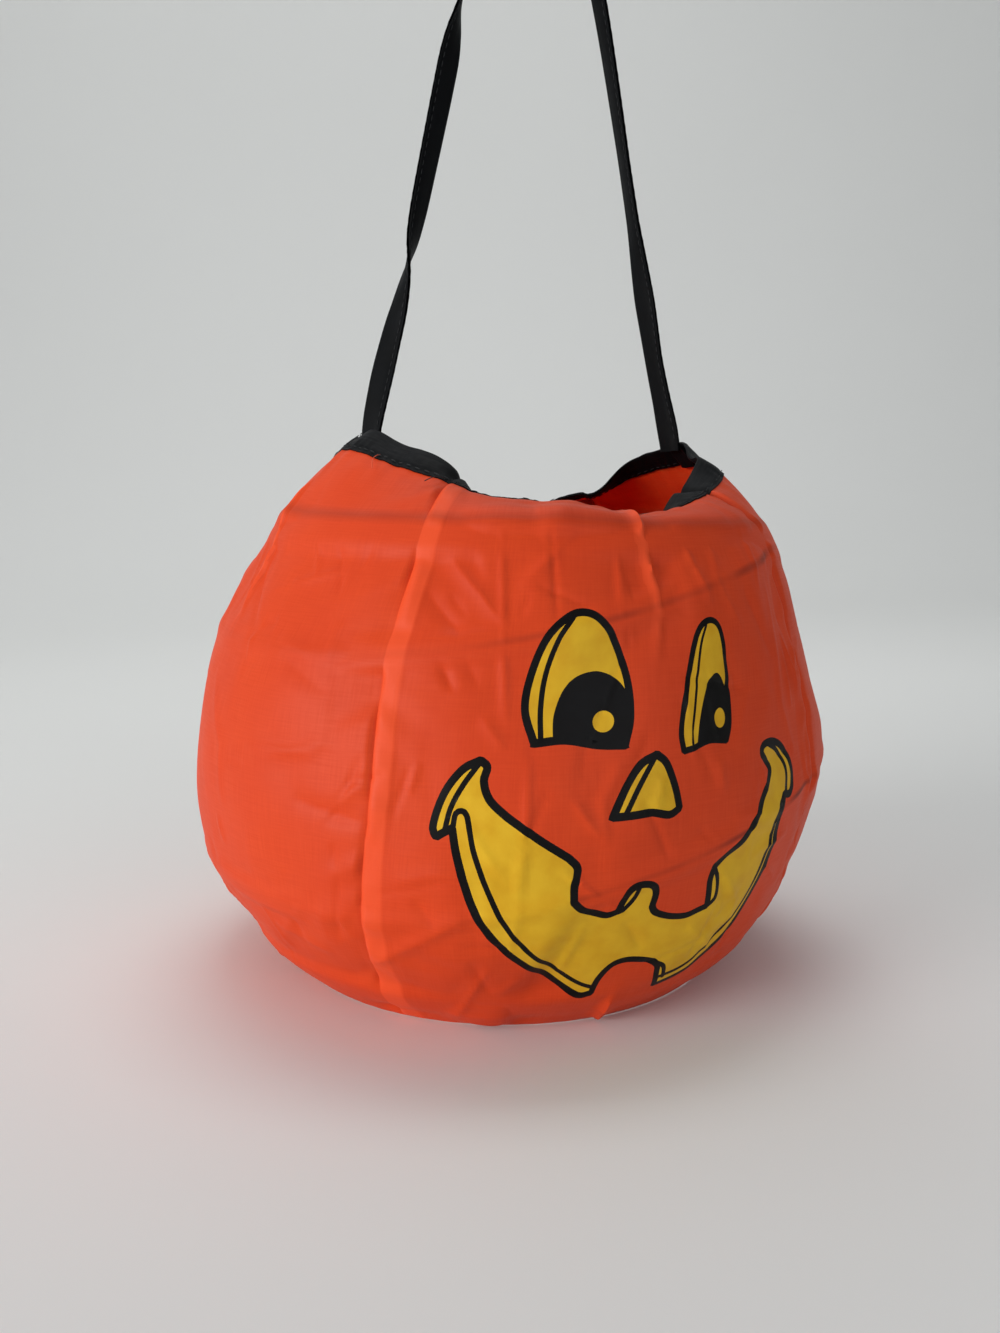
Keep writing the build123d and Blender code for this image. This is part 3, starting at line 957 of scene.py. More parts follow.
# The inside of the same cloth: a lighter copy, its colour painted light for the light that comes through the
# cloth, with which it also glows
lit_inside_cloth = orange_taffeta("orange_taffeta_inside_lit", "#E2451A", "#EC4E20", "#D83C14", glow=0.85)
yellow_ink = screen_ink("yellow_screen_ink", "#D3A01E", "#DCAE27", 0.45)
black_ink = screen_ink("black_screen_ink", "#050404", "#0B0909", 0.42)
tape = black_tape()
# Hard-drawn carbon steel wire: a plain grey that a thin film of oil leaves uneven
spring_steel = plain_finish("spring_steel", "#5C5F63", "#84888C", 3 * MM, 0.32, 1.0)
# Nickel-plated steel sleeve, pinched flat: a pale grey, a little warm
crimped_steel = plain_finish("crimped_nickel", "#8C8A84", "#B4B1A8", 2 * MM, 0.28, 1.0)
# Folded offcuts of the gores' own cloth: a dull orange
keeper_cloth = plain_finish("keeper_cloth", "#C43C1B", "#DA4F28", 1.2 * MM, 0.6)
# Spun polyester thread, dull and a little uneven
black_thread = plain_finish("black_thread", "#07080A", "#111317", 0.5 * MM, 0.6)
orange_thread = plain_finish("orange_thread", "#C8421F", "#E25A30", 0.5 * MM, 0.55)


# Printed face: smooth runs of points, in degrees of longitude and millimetres of height


left_eye = [
    [(-18.7, 106), (-20, 116), (-19, 126), (-16.6, 136), (-13.3, 142), (-10.4, 144), (-7.6, 142),
     (-5.2, 135), (-3.8, 124), (-3.7, 113), (-4.8, 104.5)],
    [(-4.8, 104.5), (-9, 105), (-14, 106.8), (-18.7, 106)],
]
left_eye_line = [(-12, 142.5), (-14.6, 136), (-16.7, 126.5), (-17.6, 117), (-17.7, 107)]
left_pupil = [
    [(-15.9, 106.5), (-15.7, 114), (-14.3, 121), (-12.2, 125.2), (-9.2, 127), (-6.9, 126.2), (-5.2, 124),
     (-3.8, 120)],
    [(-3.8, 120), (-3.7, 113), (-4.8, 104.5)],
    [(-4.8, 104.5), (-9, 105), (-15.9, 106.5)],
]
left_glint = (-8, 112, 3.6, 3.3)
right_eye = [
    [(5.2, 101), (4.9, 108), (6.4, 120), (8.7, 132.5), (10.7, 138.5), (13.2, 140.4), (15, 138), (15.5, 130),
     (15.4, 118), (15, 108), (13.9, 102.5)],
    [(13.9, 102.5), (10.2, 103.4), (7.6, 102), (5.2, 101)],
]
right_eye_line = [(12, 139), (10.1, 132.5), (8.3, 120), (7, 107), (6.9, 102)]
right_pupil = [
    [(7.9, 102.5), (8.5, 110.6), (10.4, 120), (13, 124.2), (15.3, 119)],
    [(15.3, 119), (15, 108), (13.9, 102.5)],
    [(13.9, 102.5), (10.2, 103.4), (7.9, 102.5)],
]
right_glint = (12.9, 110, 2.4, 3.2)
nose = [
    [(-7, 82.8), (-4.7, 92), (-2.3, 98.3), (0.4, 101)],
    [(0.4, 101), (2, 98), (3.3, 91), (4.2, 83.5)],
    [(4.2, 83.5), (2.4, 81.9), (-0.6, 83.2), (-4, 83), (-7, 82.8)],
]
nose_line = [(0, 100), (-2.8, 91.3), (-5.1, 83)]
grin = [
    [(-26.6, 101), (-29.2, 98.3), (-31.7, 92.3), (-33.2, 85.6), (-33.8, 80), (-33.2, 77.6)],
    [(-33.2, 77.6), (-32.1, 79), (-30.8, 80.4)],
    [(-30.8, 80.4), (-30.2, 73), (-29.2, 65), (-27.9, 56), (-25.3, 46), (-21.6, 36.5), (-17.2, 28.5),
     (-12.9, 21.5), (-8.6, 17), (-5.8, 17.4)],
    [(-5.8, 17.4), (-5.1, 23.5), (-3.4, 28.2), (-0.4, 30), (4, 28.8), (6.4, 26.4), (7.2, 22.5), (8.4, 16.8)],
    [(8.4, 16.8), (13, 19.2), (18.4, 23.5), (23, 31), (25.5, 41), (26.6, 50), (27, 58), (27.2, 67),
     (27.8, 75), (28.9, 80)],
    [(28.9, 80), (30.7, 79.6), (32, 82.2), (32.2, 87), (30.7, 92.5), (28.2, 97), (25.4, 98.9), (23, 98.3),
     (22.4, 96), (23.6, 93), (24.6, 90), (23.9, 86.3), (22, 80), (19.8, 73.5), (17.6, 68.5), (14.6, 65),
     (12.5, 61.6)],
    [(12.5, 61.6), (12, 57), (12.4, 52), (12.8, 47.4)],
    [(12.8, 47.4), (10.9, 46.4), (8.6, 45.2), (5.3, 46), (2.3, 48.4), (1.3, 51)],
    [(1.3, 51), (1.4, 56.4), (0.2, 59.6), (-2.2, 60.2), (-3.6, 58.2), (-4.3, 54), (-4.9, 50.6)],
    [(-4.9, 50.6), (-6.4, 49.5), (-8.4, 50.8), (-11, 53.4), (-12.6, 57)],
    [(-12.6, 57), (-12.6, 62), (-12.2, 67.5), (-13.6, 71)],
    [(-13.6, 71), (-17.2, 76), (-20.4, 80.8), (-23, 84.8), (-25.3, 89.5), (-26.1, 94.8), (-25.6, 99),
     (-26.6, 101)],
]
grin_lines = [
    [(-26.9, 99.8), (-29.2, 93.5), (-31, 86.8), (-31.9, 80)],
    [(-30.7, 80.5), (-30.3, 84.8), (-29.4, 85.8), (-28.6, 84.4), (-28.1, 79), (-27.6, 73.4), (-26.5, 66.4),
     (-24.5, 56), (-21.7, 45.5), (-18.1, 36.2), (-13.2, 27), (-8.9, 21.6), (-5.7, 19.4)],
    [(-2, 59.4), (-2.4, 55.2), (-3.6, 51.8), (-4.8, 50.2)],
    [(12.6, 61), (14, 55.5), (14.2, 50), (12.9, 47.4)],
    [(24.2, 98.6), (27.2, 95.3), (29.4, 90), (30, 85.4), (29.4, 80)],
    [(28.6, 80), (26.7, 74), (25.9, 66), (25.6, 58), (25, 50), (23.8, 42), (21, 33.5), (16.8, 26.5),
     (12.6, 22.6), (8, 20.6)],
    [(5.2, 28), (8, 25.5), (9.4, 20.4)],
]
outlined = [left_eye, right_eye, nose, grin]
outline_width = 2.6 * MM
inner_line_width = 1.8 * MM
right_outline_width = 2.1 * MM
right_line_width = 1.0 * MM
print_step = 1.1 * MM
glint_points = 24
stroke_end_points = 7
CLOTH, YELLOW, BLACK = 0, 1, 2


def smooth_run(points):
    """Points close together on a smooth curve through a run of places, as distances on the cloth."""
    places = np.array(on_gore(points))
    control = np.concatenate([[2 * places[0] - places[1]], places, [2 * places[-1] - places[-2]]])
    drawn = []
    for before, start, stop, after in zip(control, control[1:], control[2:], control[3:]):
        count = max(2, round(np.linalg.norm(stop - start) / print_step))
        t = np.linspace(0, 1, count, endpoint=False)[:, None]
        leave, arrive = (stop - before) / 2, (after - start) / 2
        drawn.append(
            (2 * t**3 - 3 * t**2 + 1) * start
            + (t**3 - 2 * t**2 + t) * leave
            + (3 * t**2 - 2 * t**3) * stop
            + (t**3 - t**2) * arrive
        )
    return np.concatenate(drawn + [places[-1:]])


def closed_outline(runs):
    """The loop of points that several smooth runs make."""
    return np.concatenate([smooth_run(run)[:-1] for run in runs])


def glint_outline(glint):
    """A round spot, from its place and its two radii in millimetres."""
    longitude, height, across, along = glint
    centre = np.array(on_gore([(longitude, height)])[0])
    turn = np.linspace(0, FULL_TURN, glint_points, endpoint=False)
    return centre + np.stack([across * MM * np.cos(turn), along * MM * np.sin(turn)], axis=-1)


def stroke_edges(line, width, closed):
    """The two edges of a stroke along a line, and its round ends."""
    if closed:
        line = np.concatenate([line, line[:2]])
    run = unit(line[1:] - line[:-1])
    side = np.stack([run[:, 1], -run[:, 0]], axis=-1) * width / 2
    edges = []
    for sign in (1, -1):
        edges.append(np.stack([line[:-1] + sign * side, line[1:] + sign * side], axis=1).reshape(-1, 2))
    if not closed:
        turn = np.linspace(0, math.pi, stroke_end_points)[:, None]
        edges.append(line[0] + side[0] * np.cos(turn) - run[0] * np.sin(turn) * width / 2)
        edges.append(line[-1] + side[-1] * np.cos(turn) + run[-1] * np.sin(turn) * width / 2)
    return edges


def inside_loop(points, loop):
    """Whether each point lies inside a closed loop."""
    inside = np.zeros(len(points), bool)
    x, y = points[:, 0], points[:, 1]
    for (x0, y0), (x1, y1) in zip(loop, np.roll(loop, -1, axis=0)):
        if y0 != y1:
            inside ^= ((y0 > y) != (y1 > y)) & (x < (x1 - x0) * (y - y0) / (y1 - y0) + x0)
    return inside


def near_line(points, line, reach):
    """Whether each point lies within reach of a line."""
    near = np.zeros(len(points), bool)
    low, high = line.min(axis=0) - reach, line.max(axis=0) + reach
    boxed = np.flatnonzero(np.all((points > low) & (points < high), axis=1))
    if len(boxed):
        distance, _, _ = from_line(points[boxed, 0], points[boxed, 1], line)
        near[boxed] = distance < reach
    return near


def printed_face():
    """The print's fills, pupils, strokes and glints, in the order in which the screens lay them down."""
    fills = [(closed_outline(runs), YELLOW) for runs in outlined]
    pupils = [(closed_outline(runs), BLACK) for runs in (left_pupil, right_pupil)]
    strokes = []
    for runs, (loop, _) in zip(outlined, fills):
        strokes.append((loop, right_outline_width if runs is right_eye else outline_width, True))
    for line in [left_eye_line, right_eye_line, nose_line] + grin_lines:
        width = right_line_width if line is right_eye_line else inner_line_width
        strokes.append((smooth_run(line), width, False))
    glints = [(glint_outline(glint), YELLOW) for glint in (left_glint, right_glint)]
    return fills, pupils, strokes, glints


# Cloth gores


def gore_rows():
    """Shares along the cloth of a gore's rows: up to 1 at the shoulder and 2 at the mouth."""
    body = np.linspace(0, 1, round(body_run / cloth_spacing) + 1)
    crown = np.linspace(1, 2, round(crown_length / cloth_spacing) + 1)[1:]
    return np.concatenate([body, crown])


def row_travel(longitude, row):
    """Distance along the cloth of a row's share."""
    crown = mouth_travel(longitude) - body_run
    return np.where(row <= 1, row * body_run, body_run + (row - 1) * crown)


# How strongly the painted shadow of the wire shows through the cloth at each longitude, the heights between
# which the spiral's painted shadow line shows, and where the top ring's painted shade line lies past the
# shoulder
shadow_longitudes = (-45, -30, -18, 8, 16, 40, 46, 60, 235, 262, 315)
shadow_shares = (0.12, 0.25, 0.8, 1.0, 1.8, 1.9, 0.8, 0.6, 0.4, 0.12, 0.12)
shadow_bottom = spiral_bottom + 2 * MM
shadow_top = spiral_top - 1 * MM
ring_past_shoulder = 1.5 * MM


def dress_gore(piece, longitude, travel, middle):
    """Writes a gore's flat places and its marks, among them where the painted wire shadow lies."""
    out, up = meridian(longitude, travel)
    across = (longitude - middle) * belly_degree
    set_uv(piece, np.stack([across, travel], axis=-1))
    set_attribute(piece, "wire_turns", wire_turns(longitude, up))
    in_spiral = (up > shadow_bottom) & (up < shadow_top)
    set_attribute(piece, "wire_pitch", np.where(in_spiral, wire_pitch(up), 1.0))
    set_attribute(piece, "ring_gap", travel - (body_run + ring_past_shoulder))
    set_attribute(piece, "wire_shadow_strength", np.interp(longitude, shadow_longitudes, shadow_shares))
    gap = np.radians(longitude - middle + gore_angle / 2) * out
    # The front right seam shows no pale strip
    if middle == gore_longitudes["right"]:
        gap = np.ones(len(gap))
    strength, near = tuck_nearness(across, travel, tuck_strip_width)
    doubled = strength * np.sqrt(near)
    set_attribute(piece, "seam_gap", np.where(doubled > 0, seam_allowance - strip_fade * doubled, gap))


def plain_gore(name, middle):
    """A gore without print."""
    rows = gore_rows()
    columns = round(gore_angle * belly_degree / cloth_spacing)

    def lie(across, along):
        longitude = middle + (across - 0.5) * gore_angle
        return longitude, row_travel(longitude, np.interp(along, np.linspace(0, 1, len(rows)), rows))

    def place(across, along):
        return on_cloth(*lie(across, along))

    piece, shares = grid_sheet(name, columns, len(rows) - 1, place)
    dress_gore(piece, *lie(shares[:, 0], shares[:, 1]), middle)
    piece.data.materials.append(orange_cloth)
    piece.data.materials.append(lit_inside_cloth)
    return piece


# Room round the print's lines that is kept free of grid points, as a share of their spacing, the gap under
# which points are one, and the tolerance for points on the border
print_room = 0.45
print_weld = 1e-4
border_tolerance = 1e-9


def print_mesh():
    """Points and triangles of the printed gore's flat cloth, cut along the print, and their colours."""
    fills, pupils, strokes, glints = printed_face()
    lines = [np.concatenate([loop, loop[:1]]) for loop, _ in pupils + glints]
    for line, width, closed in strokes:
        lines += stroke_edges(line, width, closed)
    half = gore_angle / 2 * belly_degree
    columns = np.linspace(-half, half, round(2 * half / cloth_spacing) + 1)
    rows = gore_rows()
    flat_rows = np.where(rows <= 1, rows * body_run, body_run + (rows - 1) * crown_length)
    grid = np.stack(np.meshgrid(columns, flat_rows), axis=-1).reshape(-1, 2)
    kept = np.abs(grid[:, 0]) > half - border_tolerance
    kept |= (grid[:, 1] < border_tolerance) | (grid[:, 1] > flat_rows[-1] - border_tolerance)
    crowded = np.zeros(len(grid), bool)
    for line in lines:
        crowded |= near_line(grid, line, print_room * cloth_spacing)
    flat = [grid[kept | ~crowded]]
    edges = []
    count = len(flat[0])
    for line in lines:
        edges += [(count + index, count + index + 1) for index in range(len(line) - 1)]
        flat.append(line)
        count += len(line)
    vectors = [Vector(tuple(point)) for point in np.concatenate(flat) / MM]
    made = delaunay_2d_cdt(vectors, edges, [], 0, print_weld)
    places = np.array([tuple(v) for v in made[0]]) * MM
    triangles = np.array(made[2])
    middles = places[triangles].mean(axis=1)
    colour = np.full(len(triangles), CLOTH)
    for loop, ink in fills + pupils:
        colour[inside_loop(middles, loop)] = ink
    for line, width, closed in strokes:
        drawn = np.concatenate([line, line[:1]]) if closed else line
        colour[near_line(middles, drawn, width / 2)] = BLACK
    for loop, ink in glints:
        colour[inside_loop(middles, loop)] = ink
    return places, triangles, colour


def printed_gore(name):
    """The front gore, whose cloth carries the printed face."""
    places, triangles, colour = print_mesh()
    longitude, flat = places[:, 0] / belly_degree, places[:, 1]
    row = np.where(flat <= body_run, flat / body_run, 1 + (flat - body_run) / crown_length)
    travel = row_travel(longitude, row)
    piece = new_piece(name, on_cloth(longitude, travel), triangles.tolist())
    dress_gore(piece, longitude, travel, 0)
    for material in (orange_cloth, yellow_ink, black_ink, lit_inside_cloth, lit_inside_cloth, lit_inside_cloth):
        piece.data.materials.append(material)
    piece.data.polygons.foreach_set("material_index", colour.astype(np.int32))
    return piece


for side, middle in gore_longitudes.items():
    name = side + "_gore"
    gore = printed_gore(name) if side == "front" else plain_gore(name, middle)
    thicken(gore, cloth_thickness, inside_slot=3 if side == "front" else 1)
    smooth(gore)
    on_spring(gore)
    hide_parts(side + "_panel")


# Seam allowances of the gores, pressed to one side inside the cloth: the waves of their width and curl
flap_run = body_run + 18 * MM
flap_start = 0.6 * MM
flap_gap = 0.12 * MM
flap_thickness = 0.3 * MM
flap_curl = 0.35 * MM
flap_waver = 0.06
flap_width_wave = (14 * MM, 20, 140)
flap_curl_wave = (9 * MM, 30, 150)
flap_grid = (8, 150)


def seam_flap(number, seam):
    """Seam allowance of two gores, pressed to one side and lying against the inside of the cloth."""

    def lie(across, along):
        travel = along * flap_run
        out, _ = meridian(np.full(along.shape, float(seam)), travel)
        width = seam_allowance * (1 + flap_waver * wavering(travel, flap_width_wave, number))
        return seam + np.degrees((across * width + flap_start) / out), travel

    def place(across, along):
        longitude, travel = lie(across, along)
        curl = flap_curl * across * (1 + wavering(travel, flap_curl_wave, number))
        return on_cloth(longitude, travel, -cloth_thickness - flap_gap - curl)

    piece, shares = grid_sheet("seam_flap_" + str(number), *flap_grid, place)
    set_uv(piece, shares * np.array([seam_allowance, flap_run]))
    mark_unwired(piece)
    piece.data.materials.append(lit_inside_cloth)
    thicken(piece, flap_thickness)
    smooth(piece)
    on_spring(piece)


for number, seam in enumerate(seam_longitudes):
    seam_flap(number, seam)


# The base's edge puckers at its seam, and its middle is a little uneven. Each starts and ends at shares of
# the radius.
base_height = base_thickness * 0.7
base_inset = 0.2 * MM
base_pucker = 0.06 * MM
base_pucker_count = 46
base_pucker_start = (0.8, 1)
base_swell = 0.5 * MM
base_swell_start = (0, 0.3)
base_swell_end = (0.85, 1)
base_grid = (180, 46)
base_weld = 0.02 * MM


def base_sheet():
    """The flat disc under the gores, its edge drawn up a little by the seam."""

    def place(across, along):
        turn = across * FULL_TURN
        radius = along * (base_radius - base_inset)
        pucker = base_pucker * (1 + np.sin(base_pucker_count * turn + 3 * np.sin(7 * turn)))
        pucker *= smoothstep(*base_pucker_start, along)
        swell = base_swell * (1 + np.sin(5 * turn + 60 * radius) * np.sin(3 * turn + 1))
        swell *= smoothstep(*base_swell_start, along) * (1 - smoothstep(*base_swell_end, along))
        height = base_height + pucker + swell
        return np.stack([radius * np.sin(turn), -radius * np.cos(turn), height], axis=-1)

    piece, shares = grid_sheet("base_disc", *base_grid, place)
    turn, radius = shares[:, 0] * FULL_TURN, shares[:, 1] * base_radius
    set_uv(piece, np.stack([radius * np.sin(turn), radius * np.cos(turn)], axis=-1))
    mark_unwired(piece)
    weld(piece, base_weld, turn_faces=True)
    piece.data.materials.append(orange_cloth)
    return piece


base = base_sheet()
thicken(base, cloth_thickness)
smooth(base)
on_spring(base)
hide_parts("base_panel")


# Mouth binding: the dent of its stitches near the edges, and the ripple that they draw
binding_fold_radius = binding_lift + cloth_thickness / 2
binding_half_fold = math.pi * binding_fold_radius / 2
binding_width = binding_depth + binding_inside_depth + 2 * binding_half_fold
binding_stitch_inset = 1.6 * MM
binding_dent = 0.3 * MM
binding_dent_width = 0.7 * MM
binding_ripple = 0.09 * MM
binding_ripple_length = 3.6 * MM
binding_ripple_start = (2 * MM, 7 * MM)
binding_turn = 359.5
binding_grid = (420, 26)


def binding_place(longitude, across):
    """Points of the folded mouth tape: across runs from its outer edge over the fold to its inner edge."""
    run = across * binding_width - binding_depth - binding_half_fold
    depth = np.where(run < 0, binding_depth, binding_inside_depth)
    turn = np.clip(run / binding_fold_radius, -QUARTER_TURN, QUARTER_TURN)
    below = np.maximum(np.abs(run) - binding_half_fold, 0)
    dent = binding_dent * bump_at(below - depth + binding_stitch_inset, binding_dent_width)
    round_mouth = np.radians(longitude) * mouth_radius
    ripple = binding_ripple * np.sin(round_mouth / binding_ripple_length * FULL_TURN)
    lift = -binding_fold_radius * np.sin(turn) - cloth_thickness / 2
    lift += np.sign(run) * (dent - ripple * smoothstep(*binding_ripple_start, below))
    travel = mouth_travel(longitude) + binding_fold_radius * np.cos(turn) - below
    return on_cloth(longitude, travel, lift)


def binding_sheet():
    """The mouth binding: one tape folded over the edge, all the way round."""

    def place(across, along):
        return binding_place(180 - across * binding_turn, along)

    piece, shares = grid_sheet("mouth_binding", *binding_grid, place)
    set_uv(piece, shares * np.array([FULL_TURN * mouth_radius, binding_depth + binding_inside_depth]))
    piece.data.materials.append(tape)
    return piece


binding = binding_sheet()
thicken(binding, tape_thickness, outward=1.0)
smooth(binding)
on_spring(binding, "mouth")
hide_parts("rim_binding")


# Twist of the strap, in degrees, by height above the hinge in millimetres on its right and left legs, how
# far each leg bows aside between its foot and the bend, and how it sways
right_twist = {0: 20, 8: 28, 20: 17, 36: 14, 58: 24, 75: 8, 86: -3, 108: -6, 126: -3, 147: 0, 164: 3, 250: 0}
left_twist = {0: -24, 8: -32, 24: -40, 44: -28, 55: -8, 61: 6, 72: 45, 83: 57, 104: 63, 121: 67, 136: 68,
              145: 52, 151: 28, 160: 12, 240: 0, 250: 0}
twist_kernel = np.array([1, 2, 3, 4, 5, 4, 3, 2, 1]) / 25
right_bow = 1.8 * MM
left_bow = 3.4 * MM
strap_sway = 1.2 * MM
strap_sway_length = 33
strap_free_start = (0, 60)
strap_free_end = (150, 240)
strap_level_start = (0, 40)
strap_leg_points = 190
strap_bend_points = 44


def strap_line():
    """Points of the strap's middle line from its right end to its left end, with its twist."""
    bend_up = strap_top - strap_bend_radius
    reach = math.hypot(hinge_out, bend_up - hinge_height)
    tangent = math.atan2(hinge_height - bend_up, hinge_out) + math.acos(strap_bend_radius / reach)
    turn = np.linspace(tangent, math.pi - tangent, strap_bend_points)
    bend = np.array([0, bend_up]) + strap_bend_radius * np.stack([np.cos(turn), np.sin(turn)], axis=-1)
    start = np.array([hinge_out, hinge_height])
    leg = start + (bend[0] - start) * np.linspace(0, 1, strap_leg_points)[:, None]
    line = np.concatenate([leg, bend[1:-1], leg[::-1] * np.array([-1, 1])])
    above = (line[:, 1] - hinge_height) / MM
    right = line[:, 0] > 0
    legs = [np.interp(above, list(twist), list(twist.values())) for twist in (right_twist, left_twist)]
    twist = np.where(right, *legs)
    free = smoothstep(*strap_free_start, above) * (1 - smoothstep(*strap_free_end, above))
    bow = np.where(right, right_bow, left_bow) * free
    sway = strap_sway * np.sin(above / strap_sway_length) * free
    points = np.stack([line[:, 0] + bow, sway, line[:, 1]], axis=-1)
    placed = hung(points)
    # Above its feet the loop stands over the hinge's line, so that it swings level
    placed[:, 1] += (points[:, 1] - placed[:, 1]) * smoothstep(*strap_level_start, above)
    padded = np.pad(twist, len(twist_kernel) // 2, mode="edge")
    return placed, np.radians(np.convolve(padded, twist_kernel, "valid"))


strap_points, strap_twist = strap_line()
strap_steps = np.linalg.norm(strap_points[1:] - strap_points[:-1], axis=1)
strap_travel = np.concatenate([[0], np.cumsum(strap_steps)])
strap_length = strap_travel[-1]
strap_run = unit(np.gradient(strap_points, axis=0))
strap_side = unit(np.cross(strap_run, np.array([0.0, 1.0, 0.0])))
strap_flat = np.cross(strap_side, strap_run)
strap_across = np.cos(strap_twist)[:, None] * strap_flat + np.sin(strap_twist)[:, None] * strap_side
strap_out = np.cross(strap_across, strap_run)


def strap_place(travel_share, across, lift):
    """Points beside the strap's middle line: across its width and out of its flat side."""
    travel = travel_share * strap_length

    def along(values):
        return np.stack([np.interp(travel, strap_travel, values[:, axis]) for axis in range(3)], axis=-1)

    return along(strap_points) + along(strap_across) * across[:, None] + along(strap_out) * lift[:, None]


def tape_section(share):
    """Places across and out of a tape folded in half: from one open edge round the fold to the other."""
    half_fold = math.pi * ply_gap / 2
    half_run = strap_width - ply_gap + half_fold
    run = share * 2 * half_run - half_run
    turn = np.clip(run / ply_gap, -QUARTER_TURN, QUARTER_TURN)
    back = np.maximum(np.abs(run) - half_fold, 0)
    return strap_width / 2 - ply_gap + ply_gap * np.cos(turn) - back, ply_gap * np.sin(turn)


# The strap's stitches near its open edge, the dent and the ripple that they draw, and its rounded middle
strap_ply = 0.25 * MM
strap_stitch_inset = 1.4 * MM
strap_dent = 0.16 * MM
strap_dent_width = 0.6 * MM
strap_ripple = 0.07 * MM
strap_ripple_length = 3.0 * MM
strap_ripple_reach = 3 * MM
strap_crown = 0.25 * MM
strap_grid = (300, 26)


def strap_sheet():
    """The carry strap: a tape folded in half and sewn along its open edge."""

    def place(along, share):
        across, lift = tape_section(share)
        from_open = across + strap_width / 2
        dent = strap_dent * bump_at(from_open - strap_stitch_inset, strap_dent_width)
        ripple = strap_ripple * np.sin(along * strap_length / strap_ripple_length * FULL_TURN)
        ripple *= np.exp(-from_open / strap_ripple_reach)
        crown = strap_crown * np.cos(across / strap_width * math.pi) ** 2
        return strap_place(along, across, lift + np.sign(lift) * (crown + ripple - dent))

    piece, shares = grid_sheet("carry_strap_tape", *strap_grid, place)
    set_uv(piece, shares * np.array([strap_length, 2 * strap_width]))
    piece.data.materials.append(tape)
    return piece


strap = strap_sheet()
thicken(strap, strap_ply, outward=1.0)
smooth(strap)
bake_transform(strap)
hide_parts("carry_strap")


# Stitches


stitch_length = 2.3 * MM
stitch_thickness = 0.38 * MM
stitch_pitch = 3.2 * MM
stitch_lift = tape_thickness + 0.02 * MM
strap_stitch_lift = ply_gap + 0.3 * MM
binding_stitch_share = 0.075
binding_stitched_turn = 178
strap_stitched_shares = (0.01, 0.99)
# Steps along and across a tape by which a stitch's directions are found
binding_step = 0.5
binding_share_step = 0.01
strap_share_step = 0.001


def one_stitch():
    """Points and faces of one stitch: a short thread that dives into the cloth at both ends, along X."""
    bpy.ops.object.select_all(action="DESELECT")
    bpy.ops.mesh.primitive_uv_sphere_add(segments=8, ring_count=6, radius=0.5)
    ball = bpy.context.object
    points = np.array([tuple(vertex.co) for vertex in ball.data.vertices])
    faces = [tuple(face.vertices) for face in ball.data.polygons]
    bpy.data.objects.remove(ball)
    return points * np.array([stitch_length, stitch_thickness, stitch_thickness]), faces


stitch_points, stitch_faces = one_stitch()


def sewn_row(name, places, runs, outs):
    """A row of stitches: one stitch set at each place, along its run and with its back to the cloth."""
    sides = unit(np.cross(outs, runs))
    points = places[:, None, :] + sum(
        stitch_points[None, :, axis, None] * direction[:, None, :]
        for axis, direction in enumerate((runs, sides, outs))
    )
    faces = []
    for first in range(0, len(places) * len(stitch_points), len(stitch_points)):
        faces += [tuple(first + corner for corner in face) for face in stitch_faces]
    piece = new_piece(name, points.reshape(-1, 3), faces)
    piece.data.materials.append(black_thread)
    smooth(piece)
    return piece


def on_binding(longitude, share):
    """Places on the mouth binding, its run there and the direction out of it."""
    ahead, behind = [binding_place(longitude + step, share) for step in (binding_step, -binding_step)]
    steps = (binding_share_step, -binding_share_step)
    over, under = [binding_place(longitude, share + step) for step in steps]
    runs = unit(ahead - behind)
    return binding_place(longitude, share), runs, unit(np.cross(runs, over - under))


def sewn_on_binding(name, here, runs, outs):
    """A row of stitches that stays with the mouth."""
    piece = sewn_row(name, here + outs * stitch_lift, runs, outs)
    on_spring(piece, "mouth")


def binding_row(name, share):
    """Stitches along the mouth binding at a share of its folded width."""
    count = round(FULL_TURN * mouth_radius / stitch_pitch)
    longitude = np.linspace(-binding_stitched_turn, binding_stitched_turn, count)
    sewn_on_binding(name, *on_binding(longitude, np.full(count, share)))


binding_row("binding_stitches_outside", binding_stitch_share)
binding_row("binding_stitches_inside", 1 - binding_stitch_share)


def strap_row(name, side):
    """Stitches along the strap's open edge, on one of its flat sides."""
    count = round(strap_length / stitch_pitch)
    along = np.linspace(*strap_stitched_shares, count)
    across = np.full(count, strap_stitch_inset - strap_width / 2)
    lift = np.full(count, side * strap_stitch_lift)
    steps = (strap_share_step, -strap_share_step)
    ahead, behind = [strap_place(along + step, across, lift) for step in steps]
    here = strap_place(along, across, lift)
    outs = unit(here - strap_place(along, across, np.zeros(count)))
    piece = sewn_row(name, here, unit(ahead - behind), outs)
    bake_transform(piece)


strap_row("strap_stitches_front", 1)
strap_row("strap_stitches_back", -1)

# Corners of the crossed square of stitches at a strap end: millimetres across, and share of the
# binding's width
tack_corners = [(-3.4, 0.13), (3.4, 0.13), (3.4, 0.39), (-3.4, 0.39), (-3.4, 0.13), (3.4, 0.39)]
tack_stitches = 3


def end_tack(side, middle):
    """The square of stitches that holds a strap end, through the binding."""
    corners = np.array(tack_corners)
    steps = np.arange(tack_stitches)[None, :, None] / tack_stitches
    places = (corners[:-1, None] + (corners[1:, None] - corners[:-1, None]) * steps).reshape(-1, 2)
    longitude = middle + np.degrees(places[:, 0] * MM / mouth_radius)
    here, _, outs = on_binding(longitude, places[:, 1])
    runs = unit(np.roll(here, -1, axis=0) - here)
    runs[-1] = runs[-2]
    runs = unit(runs - np.sum(runs * outs, axis=1, keepdims=True) * outs)
    sewn_on_binding("strap_tack_" + side, here, runs, outs)


for side, middle in strap_longitudes.items():
    end_tack(side, middle)


